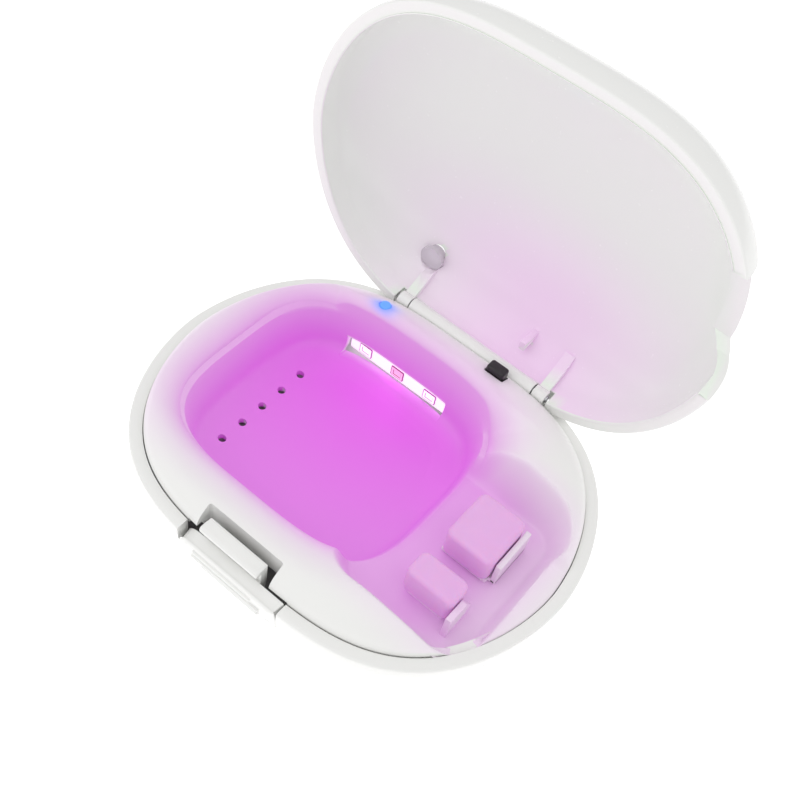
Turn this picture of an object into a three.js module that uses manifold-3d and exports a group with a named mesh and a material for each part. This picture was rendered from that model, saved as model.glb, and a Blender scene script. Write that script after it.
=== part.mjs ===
// Travel toothbrush sanitizer: a clam-shell case with a UV lamp strip, a sprung brush clamp,
// a push-button latch, a sprung lid and a stick-on wall bracket that the case slides onto.
// Millimetres. +X is the end the brush handle leaves by, +Y the hinge side, +Z up.
// The part lies on its wall bracket with the lid standing open; z = 0 is the bracket's wall face.

import * as THREE from "three";
import { mergeVertices } from "three/addons/utils/BufferGeometryUtils.js";
import { RoundedBoxGeometry } from "three/addons/geometries/RoundedBoxGeometry.js";
import Module from "manifold-3d";

const wasm = await Module();
wasm.setup();

// ---------------------------------------------------------------- driving dimensions

const CASE_LENGTH = 96;
const CASE_WIDTH = 75.2;
const END_POWER = 3.33; // how square the two ends of the outline are
const SIDE_POWER = 1.8; // how full its two long sides are
const DOME_POWER = 2.65; // fullness of the domed back and lid
const BASE_DEPTH = 19.8; // ledge down to the back of the case
const LID_DEPTH = 19;
const SHELL_WALL = 2;
const LEDGE_WIDTH = 2.6; // flat rim of the base around the tray
const LID_RIM = 2.5;
const CLEARANCE = 0.3; // between pieces that seat on or pass each other
const OUTLINE_SIDES = 56;
const SHELL_RINGS = 6;

const TRAY_WALL = 1.5;
const TRAY_CROWN = 8.5; // height of the tray's dome above the ledge
const TRAY_POWER = 2.3;
const TRAY_SKIRT = 1.5;
const WELL_DEPTH = 12; // brush well, below the ledge
const WELL_LEFT = -38.5;
const WELL_RIGHT = 20;
const WELL_FRONT = -22.5;
const WELL_REAR = 25.4;
const NECK_DEPTH = 4.5; // shallower trough that the brush neck lies in
const NECK_LEFT = 12;
const NECK_RIGHT = 38.5;
const NECK_FRONT = -21;
const NECK_REAR = 11.8;
const EXIT_FRONT = -20.6; // channel the handle leaves by
const EXIT_REAR = 4.4;
const EXIT_HEIGHT = 11;

const HINGE_Y = CASE_WIDTH / 2 - LEDGE_WIDTH; // axis, above the seam on the rear side
const HINGE_RISE = 1.95; // axis above the ledge
const PIN_RADIUS = 0.75;
const PIN_BORE = 0.85;
const KNUCKLE_RADIUS = 1.75;
const ARM_X = [-18.5, 17.7]; // the lid's two arms, at the ends of the base's knuckle
const ARM_WIDTH = 3;
const SPRING_RADIUS = 1.1; // torsion springs, in counterbores of the knuckle
const SPRING_WIRE = 0.18;
const SPRING_BORE = 1.4;
const SPRING_SPANS = [[-16.6, -8.8], [2.4, 15.8]];
const HINGE_RELIEF = 24; // half length of the lid's and tray's cuts round the hinge

const BUTTON_X = -1.5;
const BUTTON_WIDTH = 24;
const BUTTON_HEIGHT = 8.4;
const BUTTON_TRAVEL = 1.5;
const BUTTON_PROUD = 0.35;
const BUTTON_RIBS = [[-2, 7.2], [-4.1, 8.4], [-6.2, 7.2]]; // height and half length of each grip rib
const HOOK_WIDTH = 14;
const HOOK_X = -2.5;
const HOOK_TOP = 4;
const HOOK_BACK = 4.7; // front of the case to the back of the hook
const LATCH_SPRING_LENGTH = 3.4;

const PAD_LENGTH = 10.6; // silicone clamp pads
const PAD_HEIGHT = 6.9;
const REAR_PAD_X = 28.6;
const REAR_PAD_Y = 0.6;
const REAR_PAD_WIDTH = 12.6;
const FRONT_PAD_X = 28.1;
const FRONT_PAD_Y = -13.9;
const FRONT_PAD_WIDTH = 6;
const CLAMP_TRAVEL = 4;

const LED_STRIP_X = -11.2;
const LED_STRIP_Z = -8.5;
const LED_STRIP_LENGTH = 27;
const LED_STRIP_HEIGHT = 4.4;
const LED_COUNT = 3;
const LED_PITCH = 9;

const VENT_COUNT = 5;
const VENT_PITCH = 6;
const VENT_RADIUS = 0.9;
const VENT_X = -27.5;

const SWITCH_X = 8.5;
const SWITCH_Y = HINGE_Y - 4;
const SWITCH_TOP = -0.6; // top of the switch's body, below the plunger
const SWITCH_TRAVEL = 1.2;
const INDICATOR_X = -19.4;
const INDICATOR_Y = 28.4;
const INDICATOR_RADIUS = 1.3;
const LID_WINDOW_RADIUS = 2.8;

const PORT_Z = -9;
const PLUGS = [[29.5, 10], [-34, -7.5]];
const PLUG_RADIUS = 3.5;
const SCREW_RADIUS = 1.1;
const SCREW_LENGTH = 5.2;
const BOARD_THICKNESS = 1;
const CELL_SIZE = [13, 16, 5.5];
const CELL_PLACE = [26, -10];

const BRACKET_LENGTH = 45;
const BRACKET_WIDTH = 49;
const BRACKET_THICKNESS = 2.5;
const BRACKET_CORNER = 5;
const BRACKET_RIM = 2.2;
const RAIL_LENGTH = 32;
const RAIL_WIDTH = 26;
const RAIL_NECK = 19;
const RAIL_THICKNESS = 1.1;
const LIP_THICKNESS = 1;
const PAD_FOAM = 1;
const LINER_THICKNESS = 0.3;

// Levels below the ledge that follow from the sizes above.
const SCREW_SEAT = SHELL_WALL + 3.2 - BASE_DEPTH; // under the screw heads
const BOARD_LOW = SHELL_WALL + 1.6 - BASE_DEPTH; // underside of the main board
const LIP_TOP = -BASE_DEPTH - CLEARANCE;
const LIP_BOTTOM = LIP_TOP - LIP_THICKNESS;
const RAIL_TOP = LIP_BOTTOM - CLEARANCE;
const RAIL_BOTTOM = RAIL_TOP - RAIL_THICKNESS;
const BRACKET_TOP = RAIL_BOTTOM - CLEARANCE;
const BRACKET_BOTTOM = BRACKET_TOP - BRACKET_THICKNESS;
const FOAM_BOTTOM = BRACKET_BOTTOM - CLEARANCE;
const LINER_TOP = FOAM_BOTTOM - 0.1;
const LINER_BOTTOM = LINER_TOP - LINER_THICKNESS;
const LEDGE_HEIGHT = -LINER_BOTTOM;

// ---------------------------------------------------------------- materials

function plastic(color, roughness) {
  return new THREE.MeshStandardMaterial({ color, roughness, metalness: 0 });
}

function metal(color, roughness) {
  return new THREE.MeshStandardMaterial({ color, roughness, metalness: 1 });
}

const ABS = plastic(0xf4f4f2, 0.28);
const SILICONE = plastic(0xe2a6e2, 0.55);
const BLACK_PLASTIC = plastic(0x1c141c, 0.45);
const RUBBER = plastic(0xb8b5aa, 0.75);
const FOAM = plastic(0x2a2628, 0.95);
const LINER = plastic(0x9b282b, 0.35);
const BOARD = plastic(0x1f5a3a, 0.5);
const WHITE_BOARD = plastic(0xf2ecf4, 0.5);
const LED_CHIP = plastic(0xf3d6f6, 0.2);
const BLUE_LENS = plastic(0x5a9bff, 0.1);
const CLEAR_LENS = plastic(0xe6e8ea, 0.08);
const CELL = plastic(0x3f6fb0, 0.4);
const STEEL = metal(0xb9bcc0, 0.3);
const NICKEL = metal(0xc9cbce, 0.25);

// ---------------------------------------------------------------- solids

function toSolid(geometry) {
  const bare = geometry.clone();
  bare.deleteAttribute("normal");
  bare.deleteAttribute("uv");
  const merged = mergeVertices(bare, 1e-4);
  const vertProperties = merged.attributes.position.array;
  const triVerts = new Uint32Array(merged.index.array);
  return new wasm.Manifold(new wasm.Mesh({ numProp: 3, vertProperties, triVerts }));
}

function toGeometry(solid) {
  const mesh = solid.getMesh();
  const geometry = new THREE.BufferGeometry();
  geometry.setAttribute("position", new THREE.BufferAttribute(mesh.vertProperties, 3));
  geometry.setIndex(new THREE.BufferAttribute(mesh.triVerts, 1));
  geometry.computeVertexNormals();
  return geometry;
}

function block([x0, x1], [y0, y1], [z0, z1]) {
  const geometry = new THREE.BoxGeometry(x1 - x0, y1 - y0, z1 - z0);
  return toSolid(geometry.translate((x0 + x1) / 2, (y0 + y1) / 2, (z0 + z1) / 2));
}

// A block with every edge rounded, centred on x, y, z.
function softBlock(length, width, height, radius, x, y, z) {
  const geometry = new RoundedBoxGeometry(length, width, height, 2, radius);
  return toSolid(geometry.translate(x, y, z));
}

// Round bars along each axis, from one coordinate to the other.
function barX(radius, [x0, x1], y, z, sides = 20) {
  const geometry = new THREE.CylinderGeometry(radius, radius, x1 - x0, sides);
  return toSolid(geometry.rotateZ(Math.PI / 2).translate((x0 + x1) / 2, y, z));
}

function barZ(radius, x, y, [z0, z1], sides = 20) {
  const geometry = new THREE.CylinderGeometry(radius, radius, z1 - z0, sides);
  return toSolid(geometry.rotateX(Math.PI / 2).translate(x, y, (z0 + z1) / 2));
}

// A flat plate with rounded corners in the XY plane.
function plate([x0, x1], [y0, y1], corner, [z0, z1]) {
  const shape = new THREE.Shape();
  shape.moveTo(x0 + corner, y0);
  shape.lineTo(x1 - corner, y0);
  shape.absarc(x1 - corner, y0 + corner, corner, -Math.PI / 2, 0);
  shape.lineTo(x1, y1 - corner);
  shape.absarc(x1 - corner, y1 - corner, corner, 0, Math.PI / 2);
  shape.lineTo(x0 + corner, y1);
  shape.absarc(x0 + corner, y1 - corner, corner, Math.PI / 2, Math.PI);
  shape.lineTo(x0, y0 + corner);
  shape.absarc(x0 + corner, y0 + corner, corner, Math.PI, Math.PI * 1.5);
  const options = { depth: z1 - z0, bevelEnabled: false, curveSegments: 6 };
  return toSolid(new THREE.ExtrudeGeometry(shape, options).translate(0, 0, z0));
}

// A prism of the polygon (y, z), carried along X.
function prismX(points, [x0, x1]) {
  const shape = new THREE.Shape(points.map(([y, z]) => new THREE.Vector2(y, z)));
  const geometry = new THREE.ExtrudeGeometry(shape, { depth: x1 - x0, bevelEnabled: false });
  const turn = new THREE.Matrix4().set(0, 0, 1, x0, 1, 0, 0, 0, 0, 1, 0, 0, 0, 0, 0, 1);
  return toSolid(geometry.applyMatrix4(turn));
}

// A helical compression or torsion spring around its own +Z axis, from z = 0.
function coil(radius, wire, length, turns) {
  class Helix extends THREE.Curve {
    getPoint(t, target = new THREE.Vector3()) {
      const angle = 2 * Math.PI * turns * t;
      const rise = wire + (length - 2 * wire) * t;
      return target.set(radius * Math.cos(angle), radius * Math.sin(angle), rise);
    }
  }
  const section = new THREE.Shape();
  section.absarc(0, 0, wire, 0, 2 * Math.PI);
  const options = { steps: turns * 8, extrudePath: new Helix(), curveSegments: 3 };
  return toSolid(new THREE.ExtrudeGeometry(section, { ...options, bevelEnabled: false }));
}

// A closed skin through rings of points, from one pole to the other. Going up an outer
// surface or down an inner one, with counterclockwise rings, leaves the faces pointing out.
function skin(rings) {
  const positions = [];
  const starts = [];
  for (const ring of rings) {
    starts.push(positions.length / 3);
    ring.forEach((point) => positions.push(...point));
  }
  const at = (k, i) => starts[k] + (rings[k].length === 1 ? 0 : i % rings[k].length);
  const index = [];
  for (let k = 0; k + 1 < rings.length; k++) {
    const sides = Math.max(rings[k].length, rings[k + 1].length);
    for (let i = 0; i < sides; i++) {
      if (rings[k].length > 1) index.push(at(k, i), at(k, i + 1), at(k + 1, i));
      if (rings[k + 1].length > 1) index.push(at(k, i + 1), at(k + 1, i + 1), at(k + 1, i));
    }
  }
  const geometry = new THREE.BufferGeometry();
  geometry.setAttribute("position", new THREE.Float32BufferAttribute(positions, 3));
  geometry.setIndex(index);
  return toSolid(geometry);
}

// ---------------------------------------------------------------- the case outline

// Points on |x/a|^p + |y/b|^q = 1, moved inwards along the normal.
function oval(a, b, p, q, inset, sides) {
  const points = [];
  for (let i = 0; i < sides; i++) {
    const turn = (2 * Math.PI * (i + 0.5)) / sides;
    const c = Math.cos(turn);
    const s = Math.sin(turn);
    const x = a * Math.sign(c) * Math.abs(c) ** (2 / p);
    const y = b * Math.sign(s) * Math.abs(s) ** (2 / q);
    const nx = (p / a) * Math.sign(c) * Math.abs(x / a) ** (p - 1);
    const ny = (q / b) * Math.sign(s) * Math.abs(y / b) ** (q - 1);
    const size = Math.hypot(nx, ny);
    points.push([x - (inset * nx) / size, y - (inset * ny) / size]);
  }
  return points;
}

// The case outline, scaled about the middle, inset and lifted to a height.
function caseRing(inset, scale, z) {
  const a = (CASE_LENGTH / 2) * scale;
  const b = (CASE_WIDTH / 2) * scale;
  return oval(a, b, END_POWER, SIDE_POWER, inset, OUTLINE_SIDES).map(([x, y]) => [x, y, z]);
}

// Rings of a dome of the given height, from the outline to just before its pole, each
// drawn in by the wall square to the surface. On the dome, scale^p + (z / height)^p = 1.
function domeRings(inset, height, power, wall = 0, z0 = 0) {
  const rings = [];
  const depth = Math.abs(height);
  const radius = (CASE_LENGTH + CASE_WIDTH) / 4;
  for (let k = 0; k < SHELL_RINGS; k++) {
    const angle = (Math.PI / 2) * (k / SHELL_RINGS);
    const scale = Math.cos(angle) ** (2 / power);
    const rise = Math.sin(angle) ** (2 / power);
    const slope = Math.atan2(rise ** (power - 1) / depth, scale ** (power - 1) / radius);
    const z = z0 + Math.sign(height) * (rise * depth - wall * Math.sin(slope));
    rings.push(caseRing(inset * scale + wall * Math.cos(slope), scale, z));
  }
  return rings;
}

// ---------------------------------------------------------------- base shell

// Rings of the base's inner face, or of what clears it by a gap.
function baseInside(gap) {
  const rings = domeRings(0, -BASE_DEPTH, DOME_POWER, SHELL_WALL + gap);
  rings[0] = caseRing(LEDGE_WIDTH + gap, 1, 0);
  return rings;
}

function bracketRail() {
  const half = RAIL_LENGTH / 2;
  const across = [-RAIL_NECK / 2, RAIL_NECK / 2];
  const neck = block([-half, half], across, [RAIL_TOP - 0.5, SHELL_WALL - BASE_DEPTH]);
  const flange = block([-half, half], [-RAIL_WIDTH / 2, RAIL_WIDTH / 2], [RAIL_BOTTOM, RAIL_TOP]);
  return neck.add(flange);
}

// The knuckle's ends, beside the lid's arms.
function knuckleSpan(grow) {
  const half = ARM_WIDTH / 2 + CLEARANCE;
  return [ARM_X[0] + half - grow, ARM_X[1] - half + grow];
}

function hingeKnuckle() {
  const span = knuckleSpan(0);
  const barrel = barX(KNUCKLE_RADIUS + 0.1, span, HINGE_Y, HINGE_RISE);
  const foot = block(span, [HINGE_Y + CLEARANCE, HINGE_Y + 1.1], [-1, HINGE_RISE]);
  return barrel.add(foot);
}

// The pin's bore through the knuckle, opened out at each end for a spring.
function knuckleBores() {
  const bore = barX(PIN_BORE, knuckleSpan(1), HINGE_Y, HINGE_RISE);
  const [left, right] = SPRING_SPANS;
  const ends = [[left[0] - 1, left[1] + CLEARANCE], [right[0] - CLEARANCE, right[1] + 1]];
  const counterbores = ends.map((span) => barX(SPRING_BORE, span, HINGE_Y, HINGE_RISE));
  return bore.add(counterbores[0]).add(counterbores[1]);
}

function baseShell() {
  const outer = domeRings(0, -BASE_DEPTH, DOME_POWER).reverse();
  const inner = baseInside(0);
  let shell = skin([[[0, 0, -BASE_DEPTH]], ...outer, ...inner, [[0, 0, SHELL_WALL - BASE_DEPTH]]]);
  shell = shell.add(bracketRail()).add(hingeKnuckle());
  for (const [x, y] of PLUGS) {
    const boss = barZ(PLUG_RADIUS + 0.8, x, y, [SCREW_SEAT - 1.4, SCREW_SEAT + 1.7]);
    shell = shell.add(boss);
    shell = shell.subtract(barZ(PLUG_RADIUS + 0.1, x, y, [-BASE_DEPTH - 1, SCREW_SEAT]));
    shell = shell.subtract(barZ(SCREW_RADIUS + 0.2, x, y, [SCREW_SEAT - 1, SCREW_SEAT + 3]));
  }
  const half = BUTTON_WIDTH / 2 + CLEARANCE;
  const side = -CASE_WIDTH / 2;
  const buttonGap = [BUTTON_X - half, BUTTON_X + half];
  shell = shell.subtract(block(buttonGap, [side - 1, side + 8], [-BUTTON_HEIGHT - CLEARANCE, 1]));
  const end = -CASE_LENGTH / 2;
  shell = shell.subtract(plateX([end - 1, end + 11], 4.8, 1.9, PORT_Z));
  return shell.subtract(knuckleBores());
}

// A round-ended bar along X: the shape of a USB-C opening.
function plateX([x0, x1], halfWidth, halfHeight, z) {
  const reach = halfWidth - halfHeight;
  const middle = block([x0, x1], [-reach, reach], [z - halfHeight, z + halfHeight]);
  const ends = [-1, 1].map((side) => barX(halfHeight, [x0, x1], side * reach, z, 16));
  return middle.add(ends[0]).add(ends[1]);
}

// ---------------------------------------------------------------- inner tray

// Solid under the tray's dome, down to the bottom of its skirt.
function trayDome(inset, crown, bottom) {
  const rings = domeRings(inset, crown, TRAY_POWER);
  return skin([[[0, 0, bottom]], caseRing(inset + CLEARANCE, 1, bottom), ...rings, [[0, 0, crown]]]);
}

// Rounded box shape of the brush well. grow thickens it into the well's outside.
function well(grow, top) {
  // Each row: share of the depth, and how far each side has drawn in from the mouth.
  const rows = [[1, 11, 6.5], [0.93, 8.6, 3.2], [0.78, 5.2, 0.8], [0.5, 3.8, 0.3], [0, 2.2, 0]];
  const rings = rows.map(([share, ends, sides]) => {
    const z = -WELL_DEPTH * share - (share === 1 ? grow : 0);
    return wellRing(ends - grow, sides - grow, z);
  });
  rings.push(wellRing(-grow, -grow, top));
  const bottom = -WELL_DEPTH - grow;
  const middle = [(WELL_LEFT + WELL_RIGHT) / 2, (WELL_FRONT + WELL_REAR) / 2];
  return skin([[[...middle, bottom]], ...rings, [[...middle, top]]]);
}

function wellRing(drawEnds, drawSides, z) {
  const a = (WELL_RIGHT - WELL_LEFT) / 2 - drawEnds;
  const b = (WELL_REAR - WELL_FRONT) / 2 - drawSides;
  const x0 = (WELL_LEFT + WELL_RIGHT) / 2;
  const y0 = (WELL_FRONT + WELL_REAR) / 2;
  return oval(a, b, 3.6, 3.6, 0, 48).map(([x, y]) => [x0 + x, y0 + y, z]);
}

function neckTrough(grow) {
  const x = [NECK_LEFT - grow, NECK_RIGHT + grow];
  const y = [NECK_FRONT - grow, NECK_REAR + grow];
  const exit = block([30, CASE_LENGTH / 2 + 4], [EXIT_FRONT - grow, EXIT_REAR + grow], [-grow, 12]);
  return plate(x, y, 5 + grow, [-NECK_DEPTH - grow, 12]).add(exit);
}

function innerTray() {
  const seam = LEDGE_WIDTH + CLEARANCE;
  const whole = trayDome(seam, TRAY_CROWN, -TRAY_SKIRT);
  const hollow = trayDome(seam + TRAY_WALL, TRAY_CROWN - TRAY_WALL, -TRAY_SKIRT - 1);
  const low = SHELL_WALL + CLEARANCE - BASE_DEPTH;
  const under = skin([[[0, 0, low]], ...baseInside(CLEARANCE).reverse(), [[0, 0, 0]]]);
  const envelope = whole.add(under);
  let tray = whole.subtract(hollow);
  tray = tray.add(well(TRAY_WALL, 12).intersect(envelope));
  tray = tray.add(neckTrough(TRAY_WALL).intersect(envelope));
  tray = tray.add(hookPocketWall().intersect(whole));
  tray = tray.add(trayRibs());
  tray = tray.subtract(well(0, 12)).subtract(neckTrough(0));
  tray = tray.add(clampPlinth());
  return cutTray(tray);
}

// Wall round the back and sides of the pocket that the hook works in.
function hookPocketWall() {
  const half = hookPocketHalf() + 1.2;
  return block([HOOK_X - half, HOOK_X + half], [-CASE_WIDTH / 2, hookPocketBack() + 1.5], [-1, TRAY_CROWN]);
}

function hookPocketHalf() {
  return HOOK_WIDTH / 2 + 2;
}

function hookPocketBack() {
  return -CASE_WIDTH / 2 + HOOK_BACK + BUTTON_TRAVEL + CLEARANCE;
}

// Screw bosses, and the seats that the clamp and latch springs push on, under the tray.
function trayRibs() {
  const floor = -NECK_DEPTH - 1;
  const bossLow = SCREW_SEAT + 2.6;
  const boss = barZ(2.7, PLUGS[0][0], PLUGS[0][1], [bossLow, floor]);
  const wall = block([21.5, 27.5], [9.8, 11.2], [-11, floor]);
  const endBoss = barZ(2.7, PLUGS[1][0], PLUGS[1][1], [bossLow, -9.5]);
  const seatFace = -CASE_WIDTH / 2 + HOOK_BACK + LATCH_SPRING_LENGTH + 2 * CLEARANCE;
  const seat = block([HOOK_X - 2.5, HOOK_X + 2.5], [seatFace, WELL_FRONT - 1], [-5.5, -0.5]);
  return boss.add(wall).add(endBoss).add(seat);
}

// Raised seat and end rib that hold the fixed clamp pad.
function clampPlinth() {
  const half = PAD_LENGTH / 2;
  const x = FRONT_PAD_X;
  const y = FRONT_PAD_Y;
  const foot = -NECK_DEPTH - 0.5;
  const seat = block([x - half + 1, x + half - 1], [y - 2.2, y + 2.2], [foot, 1.2 - NECK_DEPTH]);
  const rib = block([x + half + CLEARANCE, x + half + 1.5], [y - 4.6, y + 2.6], [foot, 2]);
  return seat.add(rib);
}

function cutTray(solid) {
  let tray = solid;
  const cut = (tool) => {
    tray = tray.subtract(tool);
  };
  for (let i = 0; i < VENT_COUNT; i++) {
    const y = (i - (VENT_COUNT - 1) / 2) * VENT_PITCH;
    cut(barZ(VENT_RADIUS, VENT_X, y, [-WELL_DEPTH - 3, -WELL_DEPTH + 4], 12));
  }
  const halfStrip = LED_STRIP_LENGTH / 2;
  const halfHigh = LED_STRIP_HEIGHT / 2;
  const strip = [LED_STRIP_X - halfStrip, LED_STRIP_X + halfStrip];
  cut(block(strip, [WELL_REAR - 3, WELL_REAR + 3], [LED_STRIP_Z - halfHigh, LED_STRIP_Z + halfHigh]));
  cut(barZ(INDICATOR_RADIUS + 0.15, INDICATOR_X, INDICATOR_Y, [-4, 12]));
  cut(block([SWITCH_X - 2.4, SWITCH_X + 2.4], [SWITCH_Y - 1.6, SWITCH_Y + 1.6], [-4, 12]));
  cut(block([REAR_PAD_X - 5, REAR_PAD_X - 2], [REAR_PAD_Y - 1.6, REAR_PAD_Y + 3.8 + CLAMP_TRAVEL], [-8, -3]));
  const hook = hookPocketHalf();
  const front = -CASE_WIDTH / 2;
  cut(block([HOOK_X - hook, HOOK_X + hook], [front, hookPocketBack()], [-6, 10]));
  const button = BUTTON_WIDTH / 2 + CLEARANCE;
  const rimBack = front + LEDGE_WIDTH + BUTTON_TRAVEL + CLEARANCE;
  cut(block([BUTTON_X - button, BUTTON_X + button], [front, rimBack], [-TRAY_SKIRT - 1, CLEARANCE]));
  cut(barX(KNUCKLE_RADIUS + 0.4, [-HINGE_RELIEF, HINGE_RELIEF], HINGE_Y, HINGE_RISE));
  for (const [x, y] of PLUGS) {
    cut(barZ(SCREW_RADIUS - 0.1, x, y, [SCREW_SEAT, SCREW_SEAT + SCREW_LENGTH + 0.1], 12));
  }
  return tray;
}

// ---------------------------------------------------------------- lid, in its closed place

function lidShell() {
  const z0 = CLEARANCE;
  const inner = domeRings(0, LID_DEPTH, DOME_POWER, SHELL_WALL, z0);
  inner[0] = caseRing(LID_RIM, 1, z0);
  inner.reverse();
  const outer = domeRings(0, LID_DEPTH, DOME_POWER, 0, z0);
  const innerTop = z0 + LID_DEPTH - SHELL_WALL;
  let lid = skin([[[0, 0, innerTop]], ...inner, ...outer, [[0, 0, z0 + LID_DEPTH]]]);
  lid = lid.subtract(exitNotch()).subtract(hingeRelief());
  lid = lid.add(hingeArms()).add(switchPresser());
  lid = lid.subtract(barX(PIN_BORE, [-HINGE_RELIEF, HINGE_RELIEF], HINGE_Y, HINGE_RISE));
  const catchY = -CASE_WIDTH / 2 + LID_RIM;
  const half = HOOK_WIDTH / 2 + CLEARANCE;
  const catchSpan = [HOOK_X - half, HOOK_X + half];
  lid = lid.subtract(block(catchSpan, [catchY - 1.5, catchY + 4], [2.2, HOOK_TOP + 0.4]));
  lid = lid.subtract(barZ(LID_WINDOW_RADIUS + 0.2, INDICATOR_X, INDICATOR_Y, [6, windowTop()]));
  return lid.subtract(barZ(LID_WINDOW_RADIUS - 0.7, INDICATOR_X, INDICATOR_Y, [6, LID_DEPTH + 2]));
}

// Height of a dome over a point, by halving the range of the scale whose outline meets it.
function domeHeight(x, y, inset, height, power) {
  let low = 0;
  let high = 1;
  for (let i = 0; i < 30; i++) {
    const scale = (low + high) / 2;
    const ends = Math.abs(x / ((CASE_LENGTH / 2 - inset) * scale)) ** END_POWER;
    const sides = Math.abs(y / ((CASE_WIDTH / 2 - inset) * scale)) ** SIDE_POWER;
    if (ends + sides > 1) low = scale;
    else high = scale;
  }
  return height * (1 - high ** power) ** (1 / power);
}

function lidHeight(x, y) {
  return CLEARANCE + domeHeight(x, y, 0, LID_DEPTH, DOME_POWER);
}

function windowTop() {
  return lidHeight(INDICATOR_X, INDICATOR_Y + LID_WINDOW_RADIUS) - 0.9;
}

function exitNotch() {
  const profile = [[EXIT_FRONT, -1], [EXIT_REAR + 3, -1], [EXIT_REAR - 1, EXIT_HEIGHT - 2]];
  profile.push([EXIT_REAR - 3, EXIT_HEIGHT], [EXIT_FRONT + 2, EXIT_HEIGHT], [EXIT_FRONT, EXIT_HEIGHT - 2]);
  return prismX(profile, [CASE_LENGTH / 2 - 14, CASE_LENGTH / 2 + 1]);
}

// Cuts that let the rear rim swing down behind the tray and over the ledge.
function hingeRelief() {
  const back = CASE_WIDTH / 2;
  const span = [-HINGE_RELIEF, HINGE_RELIEF];
  const undercut = block(span, [HINGE_Y - 4, back + 1], [-1, HINGE_RISE]);
  const bevelZ = back - HINGE_Y + HINGE_RISE + 2 * CLEARANCE;
  const bevel = block(span, [HINGE_Y + HINGE_RISE - CLEARANCE, back + 1], [-1, bevelZ]);
  const barrel = barX(KNUCKLE_RADIUS + 0.4, span, HINGE_Y, HINGE_RISE);
  return undercut.add(bevel).add(barrel);
}

// Two arms with the lid's knuckles, each a triangular fin up the inside of the rear wall.
function hingeArms() {
  const arms = ARM_X.map((x) => {
    const span = [x - ARM_WIDTH / 2, x + ARM_WIDTH / 2];
    const barrel = barX(KNUCKLE_RADIUS, span, HINGE_Y, HINGE_RISE);
    const fin = prismX([[HINGE_Y - 0.6, HINGE_RISE], [HINGE_Y + 0.9, HINGE_RISE], [HINGE_Y + 0.5, 5],
      [HINGE_Y - 0.7, 8.5], [HINGE_Y - 3.8, 12], [HINGE_Y - 5.6, 11], [HINGE_Y - 3.6, 8]], span);
    return barrel.add(fin);
  });
  return arms[0].add(arms[1]);
}

// Rib that stops just above the plunger when the lid is closed.
function switchPresser() {
  const tip = plungerTop() + CLEARANCE;
  const top = lidHeight(SWITCH_X, SWITCH_Y) - 0.8;
  return block([SWITCH_X - 0.7, SWITCH_X + 0.7], [SWITCH_Y - 1, SWITCH_Y + 1.2], [tip, top]);
}

function trayHeight(x, y) {
  return domeHeight(x, y, LEDGE_WIDTH + CLEARANCE, TRAY_CROWN, TRAY_POWER);
}

function plungerTop() {
  return trayHeight(SWITCH_X, SWITCH_Y - 1.5) + 1.4;
}

function lidWindow() {
  const top = windowTop() - 0.3;
  return barZ(LID_WINDOW_RADIUS, INDICATOR_X, INDICATOR_Y, [top - 1.2, top]);
}

// ---------------------------------------------------------------- latch

// Push pad with grip ribs in the front wall, and the hook that holds the lid.
function latchButton() {
  const half = BUTTON_WIDTH / 2;
  const front = -CASE_WIDTH / 2;
  const window = block([BUTTON_X - half, BUTTON_X + half], [2 * front, front + 4.2], [-BUTTON_HEIGHT, 0]);
  const outer = domeRings(-BUTTON_PROUD, -BASE_DEPTH, DOME_POWER).reverse();
  const solid = skin([[[0, 0, -BASE_DEPTH]], ...outer, [[0, 0, 0]]]);
  const inner = baseInside(-0.2).reverse();
  const mouth = caseRing(LEDGE_WIDTH - 0.2, 1, 1);
  const core = skin([[[0, 0, SHELL_WALL - BASE_DEPTH]], ...inner, mouth, [[0, 0, 1]]]);
  let button = solid.subtract(core).intersect(window);
  const hookHalf = HOOK_WIDTH / 2;
  const hook = [HOOK_X - hookHalf, HOOK_X + hookHalf];
  const stem = block(hook, [front + HOOK_BACK - 1.8, front + HOOK_BACK], [-5, HOOK_TOP]);
  const web = block(hook, [front + 2, front + HOOK_BACK - 0.5], [-5, -0.5]);
  const root = front + HOOK_BACK - 1.6;
  const tip = front + LID_RIM - 1;
  const beak = [[root, HOOK_TOP], [root, HOOK_TOP - 1.6], [tip, HOOK_TOP - 1.2], [tip, HOOK_TOP - 0.4]];
  const nose = prismX(beak, hook);
  button = button.add(stem).add(web).add(nose);
  for (const [z, half] of BUTTON_RIBS) {
    const scale = (1 - (-z / BASE_DEPTH) ** DOME_POWER) ** (1 / DOME_POWER);
    const face = front * scale - BUTTON_PROUD;
    button = button.add(barX(0.5, [BUTTON_X - half, BUTTON_X + half], face + 0.25, z, 12));
  }
  return button;
}

function latchSpring() {
  const start = -CASE_WIDTH / 2 + HOOK_BACK + CLEARANCE;
  const spring = coil(1.4, 0.25, LATCH_SPRING_LENGTH, 4);
  return spring.rotate([-90, 0, 0]).translate([HOOK_X, start, -3]);
}

// ---------------------------------------------------------------- brush clamp

function clampPad(width, x, y) {
  const z = -NECK_DEPTH + 1.2 + CLEARANCE + PAD_HEIGHT / 2;
  return softBlock(PAD_LENGTH, width, PAD_HEIGHT, 1.4, x, y, z);
}

function clampSlider() {
  const half = PAD_LENGTH / 2;
  const x = REAR_PAD_X;
  const y = REAR_PAD_Y;
  const low = -NECK_DEPTH + CLEARANCE;
  const foot = block([x - half, x + half], [y - 5.4, y + 5.9], [low, low + 0.9]);
  const rib = block([x + half + CLEARANCE, x + half + 1.5], [y - 4.4, y + 5.9], [low, 2]);
  const bridge = block([x + half - 0.5, x + half + 1.5], [y - 4.4, y + 5.9], [low, low + 0.9]);
  const tongue = block([x - 4.7, x - 2.3], [y - 1.3, y + 0.7], [-10.6, low + 0.5]);
  return foot.add(bridge).add(rib).add(tongue);
}

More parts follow.
